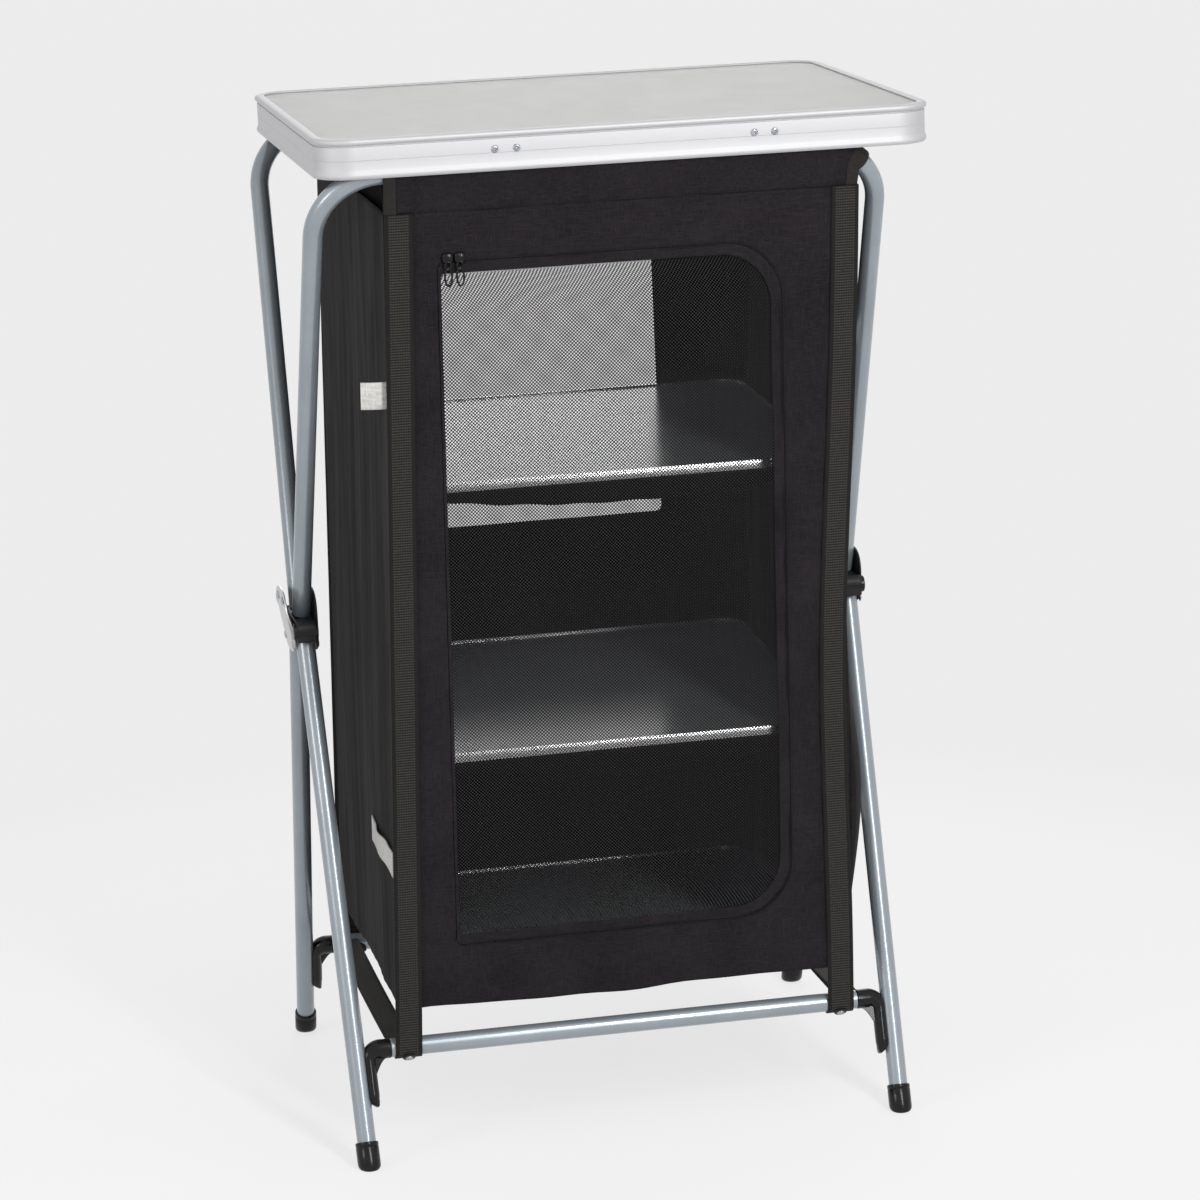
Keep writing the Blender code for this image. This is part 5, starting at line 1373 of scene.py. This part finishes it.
def strap_path(side, end):
    """Down the wall, a little slack between its seam and the bar, and round under the bar."""
    z = np.linspace(cabinet_top_z - fit, cabinet_bottom_z + 0.012, 90)
    slack = 0.0007 * np.sin(2 * np.pi * z / 0.19 + side) * np.clip((cabinet_top_z - z) / 0.05, 0, 1)
    wall = np.stack([half_depth(z) + strap_lift + np.abs(slack) * 0.8, z], axis=-1)
    turn = hook(tube_radius + fit + webbing_thickness / 2, *strap_turn, 40)
    y, z = np.vstack([wall, turn]).T
    share = np.clip((cabinet_top_z - z) / (cabinet_top_z - lower_bar_z), 0, 1)
    x = (cabinet_top_x + side * strap_top_x) * (1 - share) + side * strap_bottom_x * share
    if side > 0:
        x = x - strap_draw_in * np.exp(-((z - strap_draw_z) / strap_draw_reach) ** 2)
    return np.stack([x, end * y, z], axis=-1)


for end, word in ends:
    for side, name in sides:
        path = strap_path(side, end)
        way = length_along(path)
        tongue = 1 - 0.45 * np.clip(1 - (way[-1] - way) / 0.007, 0, 1) ** 2
        strap = strip(f"strap_{word}_{name}_web", path, strap_spread * webbing_width * tongue, webbing)
        wear(strap, word + "_cloth", "webbing", f"strap_{word}_{name}")
        out = np.array([0, end * math.cos(washer_way), math.sin(washer_way)])
        bar = np.array([path[-1, 0], end * lower_bar_y, lower_bar_z])
        place = bar + out * (tube_radius + fit + webbing_thickness)
        disc = turned(f"strap_washer_{word}_{name}", place, out, washer, matt_black, 28)
        wear(disc, word + "_cloth", "black_moulding")
        screw = pan_head(f"strap_screw_{word}_{name}", place + out * washer_depth, out, 0.0040)
        wear(screw, word + "_cloth", "bright_plate")
print("strap length", round(float(length_along(strap_path(1, 1))[-1]), 3))

# %% [markdown]
# Near the walls' lower corners, a thin pale strip in the felt finish lies beside the webbing of the front
# straps.
# %% Pale strips beside the front straps
pale_strip_width, pale_strip_thickness, pale_strip_points = 0.0013, 0.0009, 70
pale_strip_runs = ((-1, "left", 1, 0.125, 0.275), (-1, "left", -1, 0.105, 0.225), (1, "right", -1, 0.135, 0.255))
for number, (side, name, way, low, high) in enumerate(pale_strip_runs):
    path = strap_path(side, -1)
    path = path[(path[:, 2] > low) & (path[:, 2] < high)][:pale_strip_points]
    path = path + np.array([way * (webbing_width / 2 + 0.0002), 0.0002, 0])
    pale_strip = strip(f"binding_{name}_{number}", path, pale_strip_width, felt, pale_strip_thickness, 3)
    wear(pale_strip, "front_cloth", "felt")
print("pale_strips", len(pale_strip_runs))

# %% [markdown]
# The belts tie the two lower frames together, so that the feet can't slide apart. Each is sewn to the
# strap loops on the inner side of the lower bars and sags a little between them.
# %% Belts
belt_sag = 0.002
belt_x = lower_leg_x - elbow_reach + 0.0030 - webbing_width / 2
belts = []
for side, name in sides:
    over = tube_radius + 0.0006 + 1.5 * webbing_thickness
    back = hook(over, *belt_turn, 26)
    share = np.linspace(1, -1, 60)[1:-1]
    level = back[-1, 1]
    middle = np.stack([lower_bar_y * 0.93 * share, level - belt_sag * (1 - share ** 2)], axis=-1)
    front = back[::-1] * (-1, 1)
    flat = np.vstack([back, middle, front])
    path = np.insert(flat, 0, side * belt_x, axis=1)
    belt = strip("belt_" + name + "_web", path, webbing_width, webbing)
    belts.append(wear(belt, "base", "webbing", "belt_" + name))
print("belt", [round(v, 3) for v in belts[0].dimensions])

# %% [markdown]
# Pale felt tabs are sewn to the side walls where the shelves' edges would rub through. They follow the
# wall's folds a millimetre outside it, so a tab reads the same formula as the wall. The upper tab at the
# left is sewn into the front corner seam and stands out sideways from it, the lower ones puff out a
# little, and the ones at the right lie further back.
# %% Felt tabs
tab_height = 0.026
tab_lift = 0.0019
tab_reach, tab_turn, tab_sink = 0.0250, 0.0060, 0.0020
tab_puff = 0.0022
tab_shares = {"upper": (0.7827, -0.969, -0.450), "lower": (0.1847, -0.886, -0.154)}
tab_start = {-1: 0.0, 1: 0.25}
tab_run = np.linspace(0, 1, 50)[None, :]


def tab_points(side, level):
    """A strip of the wall's own surface, lifted off it by a constant and by the tab's own shape."""
    height_share, low_share, high_share = tab_shares[level]
    z = cabinet_bottom_z + (cabinet_top_z - cabinet_bottom_z) * height_share
    y = np.linspace(low_share + tab_start[side], high_share, 50)[None, :] * half_depth(z)
    height = np.linspace(z - tab_height / 2, z + tab_height / 2, 16)[:, None]
    lift = tab_lift
    if level == "upper" and side < 0:
        lift = tab_lift + tab_reach * tab_run - tab_sink
        y = low_share * half_depth(z) + tab_turn * tab_run * tab_run + 0 * y
    if level == "lower":
        wave = np.sin(np.pi * tab_run) * (1 + 0.5 * np.sin(14 * tab_run))
        lift = tab_lift + tab_puff * wave * np.linspace(0.2, 1, 16)[:, None]
    x = side_x(side, y / (half_depth(height) - seam_room), height, lift=lift)
    return np.stack([x, y + 0 * height, height + 0 * y], axis=-1)


tabs = []
for side, name in sides:
    for level in tab_shares:
        tab = thicken(surface(f"felt_tab_{level}_{name}", tab_points(side, level), felt))
        tabs.append(wear(tab, "base", "felt", f"tab_{level}_{name}"))
print("tabs", len(tabs))

# %% [markdown]
# ## The zip
# The door's zip is a coil: two rows of fine loops that mesh in the middle. It starts at the top of the
# left seam, runs along the top, down the right side and back along the bottom. Each loop is one small
# rounded block, placed by its distance along the door's outline, and the two rows are half a pitch apart.
# %% Zip coil
coil_pitch = 0.0022
coil_half_width = 0.0021
coil_lift = 0.0010
coil_gap = 0.0003
coil_block = np.array([coil_pitch * 0.62, coil_half_width, 0.0013])


def along(path, stops):
    """The places on a flat path at the given distances from its start, read between its points."""
    way = length_along(path)
    return np.stack([np.interp(stops, way, path[:, axis]) for axis in (0, 1)], axis=-1)


def walk(edge, start, stop, step):
    """Places and directions at even steps along a closed outline."""
    closed = np.vstack([edge, edge[:1]])
    whole = length_along(closed)[-1]
    stops = np.arange(start, stop, step) % whole
    places = along(closed, stops)
    return places, unit(along(closed, (stops + step / 2) % whole) - places)


def scatter(name, centres, ways, size, finish):
    """One block per place on the front: eight corners spread along the way, across it and outwards."""
    ways = np.insert(ways, 1, 0.0, axis=1)
    ups = np.broadcast_to(outwards, ways.shape)
    signs = np.array([(a, b, c) for c in (-1, 1) for b in (-1, 1) for a in (-1, 1)], float)
    shrink = np.where(signs[:, 2:] > 0, 0.6, 1.0)
    spread = signs * size / 2 * np.hstack([shrink, shrink, np.ones_like(shrink)])
    corners = centres[:, None]
    for axis, directions in enumerate((ways, np.cross(ways, ups), ups)):
        corners = corners + spread[None, :, axis:axis + 1] * directions[:, None]
    block = np.array([(0, 2, 3, 1), (4, 5, 7, 6), (0, 1, 5, 4), (2, 6, 7, 3), (0, 4, 6, 2), (1, 3, 7, 5)])
    faces = (block[None] + 8 * np.arange(len(centres))[:, None, None]).reshape(-1, 4)
    return put_mesh(name, corners, faces.tolist(), finish)


outwards = np.array([0.0, -1.0, 0.0])
edge_line = door_edge(zip_inset - coil_gap, -coil_gap)
edge_way = float(length_along(np.vstack([edge_line, edge_line[:1]]))[-1])
left_side = door_top_z - door_bottom_z - door_radii[0] - door_radii[3]
coil_length = edge_way - left_side
for row, carrier, shift in (("door", "door", -1), ("wall", "front_cloth", 1)):
    start = coil_pitch / 4 * (1 + shift)
    places, ways = walk(edge_line, start, coil_length, coil_pitch)
    normals = np.stack([ways[:, 1], -ways[:, 0]], axis=-1)
    centres = on_front(places + normals * shift * coil_half_width * 0.45, coil_lift)
    wear(scatter("zip_coil_" + row, centres, ways, coil_block, coil_black), carrier, "zip_metal")
print("zip length", round(coil_length, 3), "loops a side", len(centres))

# %% [markdown]
# Stitches are short dashes of thread in rows: one on the front where the sleeve is sewn on, one round the
# door, and one down the band at its left. They are scattered with the same blocks as the zip's loops,
# only longer and flatter.
# %% Stitches on the front
stitch_pitch = 0.0034
stitch_size = np.array([0.0022, 0.0007, 0.0005])
stitch_turn = np.radians(12)


def stitch_row(name, flat, lift=0.0009):
    """Dashes along a line of x, z places on the front, each turned a little, as a needle leaves them."""
    stops = np.arange(0, length_along(flat)[-1], stitch_pitch)
    places = along(flat, stops)[:-1]
    ways = unit(along(flat, stops + 0.0005)[:-1] - places)
    turn = stitch_turn * np.where(np.arange(len(ways)) % 2, 1, -1)
    x = ways[:, 0] * np.cos(turn) - ways[:, 1] * np.sin(turn)
    z = ways[:, 0] * np.sin(turn) + ways[:, 1] * np.cos(turn)
    row = scatter(name, on_front(places, lift), np.stack([x, z], axis=-1), stitch_size, thread)
    return wear(row, "front_cloth", "cloth")


seam_half = cabinet_half_width - 0.004
seam_run = np.linspace(-seam_half, seam_half, 60) + cabinet_top_x
seam_row = np.stack([seam_run, np.full(60, cabinet_top_z - 0.0030)], axis=-1)
around = door_edge(-0.0050, -0.0065)
left_run = np.linspace(door_top_z + 0.028, cabinet_bottom_z + 0.012, 60)
band_row = np.stack([door_left(left_run) - 0.0125, left_run], axis=-1)
rows = [stitch_row("stitches_sleeve", seam_row, 0.0010)]
rows.append(stitch_row("stitches_door", np.vstack([around, around[:1]])))
rows.append(stitch_row("stitches_band", band_row))
print("stitch rows", len(rows))

# %% [markdown]
# Two sliders sit at the top of the left seam. Each is a low body with a rounded back and a pull that
# hangs from it: a ring above a long link, like a figure eight. The ring and the link are tubes of wire
# bent round, so they are swept circles on a closed path.
# %% Zip sliders and pulls
slider_drop = 0.004
slider_lift = 0.0011
slider_places = {"left": door_left_top_x + 0.0095, "right": door_left_top_x + 0.0211}
slider_carriers = {"left": "door", "right": "zip"}
slider_size = (0.0112, 0.0040, 0.0105)
wire = 0.0010


def loop_of_wire(name, centre, half_width, half_height, finish, steps=40, sides=12):
    """A closed wire: the path is an oval in the X-Z plane, the circle's axes are Y and its normal."""
    angle = np.linspace(0, 2 * np.pi, steps, endpoint=False)[:, None]
    path = np.array(centre) + np.hstack([half_width * np.sin(angle), 0 * angle, half_height * np.cos(angle)])
    outward = unit(np.hstack([np.sin(angle) / half_width, 0 * angle, np.cos(angle) / half_height]))
    turn = np.linspace(0, 2 * np.pi, sides, endpoint=False)[None, :, None]
    grid = path[:, None] + wire * (np.cos(turn) * outward[:, None] + np.sin(turn) * np.array([0, 1.0, 0]))
    return surface(name, grid, finish, round_down=True, round_across=True)


def slider_body(name, centre, size, finish):
    """A cushion shape: a superellipse outline that shrinks as it rises, like a pressed shell."""
    angle = np.linspace(0, 2 * np.pi, 40, endpoint=False)
    wave = np.stack([np.cos(angle), np.sin(angle)], axis=-1)
    shape = np.sign(wave) * np.abs(wave) ** 0.6
    rise = np.array([0.0, 0.3, 0.6, 0.85, 1.0])
    grow = np.array([0.92, 1.0, 0.96, 0.80, 0.55])
    ring = shape[None] * grow[:, None, None] * (size[0] / 2, size[2] / 2)
    depth = np.broadcast_to((-rise * size[1])[:, None, None], ring.shape[:2] + (1,))
    points = np.concatenate([ring[..., :1], depth, ring[..., 1:]], axis=-1)
    return surface(name, points + np.array(centre), finish, round_across=True, caps=True)


for name, x in slider_places.items():
    z = door_top_z - slider_drop
    y = -float(half_depth(door_top_z)) - slider_lift
    body = slider_body("slider_body_" + name, (x, y, z), slider_size, gloss_black)
    ring = loop_of_wire("slider_ring_" + name, (x, y - 0.0032, z - 0.0070), 0.0030, 0.0036, gloss_black)
    link = loop_of_wire("slider_pull_" + name, (x, y - 0.0024, z - 0.0180), 0.0034, 0.0086, gloss_black)
    wear(body, slider_carriers[name], "zip_metal", "zip_slider_" + name)
    wear(ring, slider_carriers[name], "zip_metal")
    wear(link, slider_carriers[name], "zip_metal")
print("sliders at", {name: round(x, 3) for name, x in slider_places.items()})

# %% [markdown]
# ## Walls drawn in between the shelves
# The right wall hangs slack between the upper two shelves, and its straps lean in with it. So every piece
# near that wall moves towards the middle by one formula, most at the height between the two shelves.
# %% Draw in the right side
draw_in, draw_in_z, draw_in_reach = 0.0100, 0.585, 0.135
draw_in_start = 0.80
drawn_in = [front_wall, back_wall] + side_walls + slings + tabs
for piece in drawn_in:
    points = np.empty(3 * len(piece.data.vertices))
    piece.data.vertices.foreach_get("co", points)
    points = points.reshape(-1, 3)
    z = points[:, 2]
    width_share = (points[:, 0] - centre_x(z)) / cabinet_half_width
    near = np.clip((width_share - draw_in_start) / (1 - draw_in_start), 0, 1)
    depth = draw_in * np.exp(-((z - draw_in_z) / draw_in_reach) ** 2)
    points[:, 0] -= depth * near * near * (3 - 2 * near)
    piece.data.vertices.foreach_set("co", points.ravel())
    piece.data.update()
print("pieces drawn in", len(drawn_in))

# %% [markdown]
# ## Cloth that spans the frames
# When the frame folds, its two ends come together and everything that spans them from front to back is
# squeezed, and real cloth crumples between the frames. The walls, roof, slings, belts and tabs can't follow a
# hinge. Here each of them only gets a mesh of its own.
# %% Own meshes for what spans front to back
for piece in side_walls + [roof] + tabs + belts:
    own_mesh(piece)
for piece, level in zip(slings, ("upper", "middle", "lower")):
    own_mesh(piece)
print("pieces that fold", len(side_walls + [roof] + slings + tabs + belts))

# %% [markdown]
# ## The set
# The object stands on a pale floor under soft studio light. The floor has the colour of the picture's
# background, and a Light Path switch shows most of that colour directly to the camera and in mirror
# reflections, while the rest still takes light and keeps the soft shadow under the feet.
# %% Floor
backdrop_grey = 0.84
shadow_near, shadow_far = 0.50, 1.30
shadow_share = 0.30
near_glow = 1.02


def seen_directly(tree):
    """1 for a ray from the camera, from a mirror reflection or through a gap, and 0 for any other."""
    ray = add(tree, "ShaderNodeLightPath")
    seen = combine(tree, "MAXIMUM", ray.outputs["Is Camera Ray"], ray.outputs["Is Glossy Ray"])
    return combine(tree, "MAXIMUM", seen, ray.outputs["Is Transmission Ray"])


def by_distance(tree, distance, near, far):
    """A value that goes from near to far between the two distances of the shadow."""
    reach = {"Value": distance, "From Min": shadow_near, "From Max": shadow_far}
    reach.update({"To Min": near, "To Max": far})
    return add(tree, "ShaderNodeMapRange", reach).outputs["Result"]


def backdrop_finish():
    """A matt floor mixed with its own glow; the share of glow grows with the distance from the object."""
    material, tree, shader, place = start_finish("floor", Roughness=0.9, Specular_IOR_Level=0.0)
    tree.links.new(shade(tree, grain(tree, place, 3), (0.82,) * 3, (0.84,) * 3), shader.inputs["Base Color"])
    distance = add(tree, "ShaderNodeVectorMath", {0: place}, operation="LENGTH").outputs["Value"]
    plain = by_distance(tree, distance, 1 - shadow_share, 1.0)
    strength = by_distance(tree, distance, near_glow, backdrop_grey)
    glow = add(tree, "ShaderNodeEmission", {"Strength": strength})
    mix = add(tree, "ShaderNodeMixShader", {0: combine(tree, "MULTIPLY", seen_directly(tree), plain)})
    tree.links.new(shader.outputs["BSDF"], mix.inputs[1])
    tree.links.new(glow.outputs["Emission"], mix.inputs[2])
    tree.links.new(mix.outputs["Shader"], tree.nodes["Material Output"].inputs["Surface"])
    return material


floor_reach = 6.0
corners = np.array([[(-1, -1, 0), (1, -1, 0)], [(-1, 1, 0), (1, 1, 0)]], float) * floor_reach
floor = surface("floor", corners, backdrop_finish())
print("floor", [round(v, 1) for v in floor.dimensions])

# %% [markdown]
# The world is an even pale grey, which gives the soft fill of a light tent. A tall strip lamp at the
# right front draws the highlights on the tubes and the worktop's edge, a weak warm one at the left keeps
# the side cloth readable, and one from behind lights the window.
# %% World and lamps
world = bpy.data.worlds.new("studio")
bpy.context.scene.world = world
world.use_nodes = True
tree = world.node_tree
fill = tree.nodes["Background"]
fill.inputs["Color"].default_value = (0.84, 0.84, 0.85, 1)
fill.inputs["Strength"].default_value = 0.55
sky_colour = (backdrop_grey, backdrop_grey, backdrop_grey, 1)
seen_sky = add(tree, "ShaderNodeBackground", {"Color": sky_colour, "Strength": 1.0})
choice = add(tree, "ShaderNodeMixShader", {0: seen_directly(tree)})
tree.links.new(fill.outputs["Background"], choice.inputs[1])
tree.links.new(seen_sky.outputs["Background"], choice.inputs[2])
tree.links.new(choice.outputs["Shader"], tree.nodes["World Output"].inputs["Surface"])
object_middle = Vector((0, 0, 0.55))


def lamp(name, place, size, power, tint=(1, 1, 1)):
    """A rectangular area lamp that looks at the object's middle."""
    light = bpy.data.lights.new(name, "AREA")
    light.shape = "RECTANGLE"
    light.size, light.size_y = size
    light.energy = power
    light.color = tint
    holder = bpy.data.objects.new(name, light)
    holder.location = place
    holder.rotation_euler = (object_middle - Vector(place)).to_track_quat("-Z", "Y").to_euler()
    bpy.context.scene.collection.objects.link(holder)
    return holder


lamp("key", (0.9, -3.2, 2.4), (0.45, 2.4), 70)
lamp("side", (-2.6, -1.4, 1.5), (0.8, 0.8), 13, (1.0, 0.96, 0.91))
lamp("back", (0.55, 2.8, 1.42), (1.2, 1.2), 11)
print("lamps", len(bpy.data.lights))

# %% [markdown]
# The picture was taken with a long lens from a little above and from the left, and it was cropped off
# centre. Place, direction and roll come from lines on the object that run along its three directions:
# the worktop's edges, the legs and the shelves. The crop becomes a lens shift, so verticals stay right.
# %% Camera
camera_azimuth = math.radians(11.4541)
camera_elevation = math.radians(16.0311)
camera_roll = math.radians(-2.2215)
camera_place = Vector((-0.8173 + middle_x, -4.1238, 1.4885))
focal_share = 4200.54 / 1200
crop_share = 213.76 / 1200
sensor = 36.0

level = math.cos(camera_elevation)
sideways, ahead = math.sin(camera_azimuth), math.cos(camera_azimuth)
forward = Vector((sideways * level, ahead * level, -math.sin(camera_elevation)))
right = Vector((ahead, -sideways, 0))
up = right.cross(forward)
rolled_right = right * math.cos(camera_roll) + up * math.sin(camera_roll)
rolled_up = up * math.cos(camera_roll) - right * math.sin(camera_roll)
camera = bpy.data.cameras.new("camera")
camera.sensor_width = sensor
camera.lens = sensor * focal_share
camera.shift_y = crop_share
camera.clip_start = 0.05
holder = bpy.data.objects.new("camera", camera)
axes = Matrix((rolled_right, rolled_up, -forward)).transposed()
holder.matrix_world = Matrix.Translation(camera_place) @ axes.to_4x4()
bpy.context.scene.collection.objects.link(holder)
bpy.context.scene.camera = holder
bpy.context.scene.view_settings.view_transform = "Standard"
print("lens", round(camera.lens, 1), "mm at", [round(v, 3) for v in camera_place])
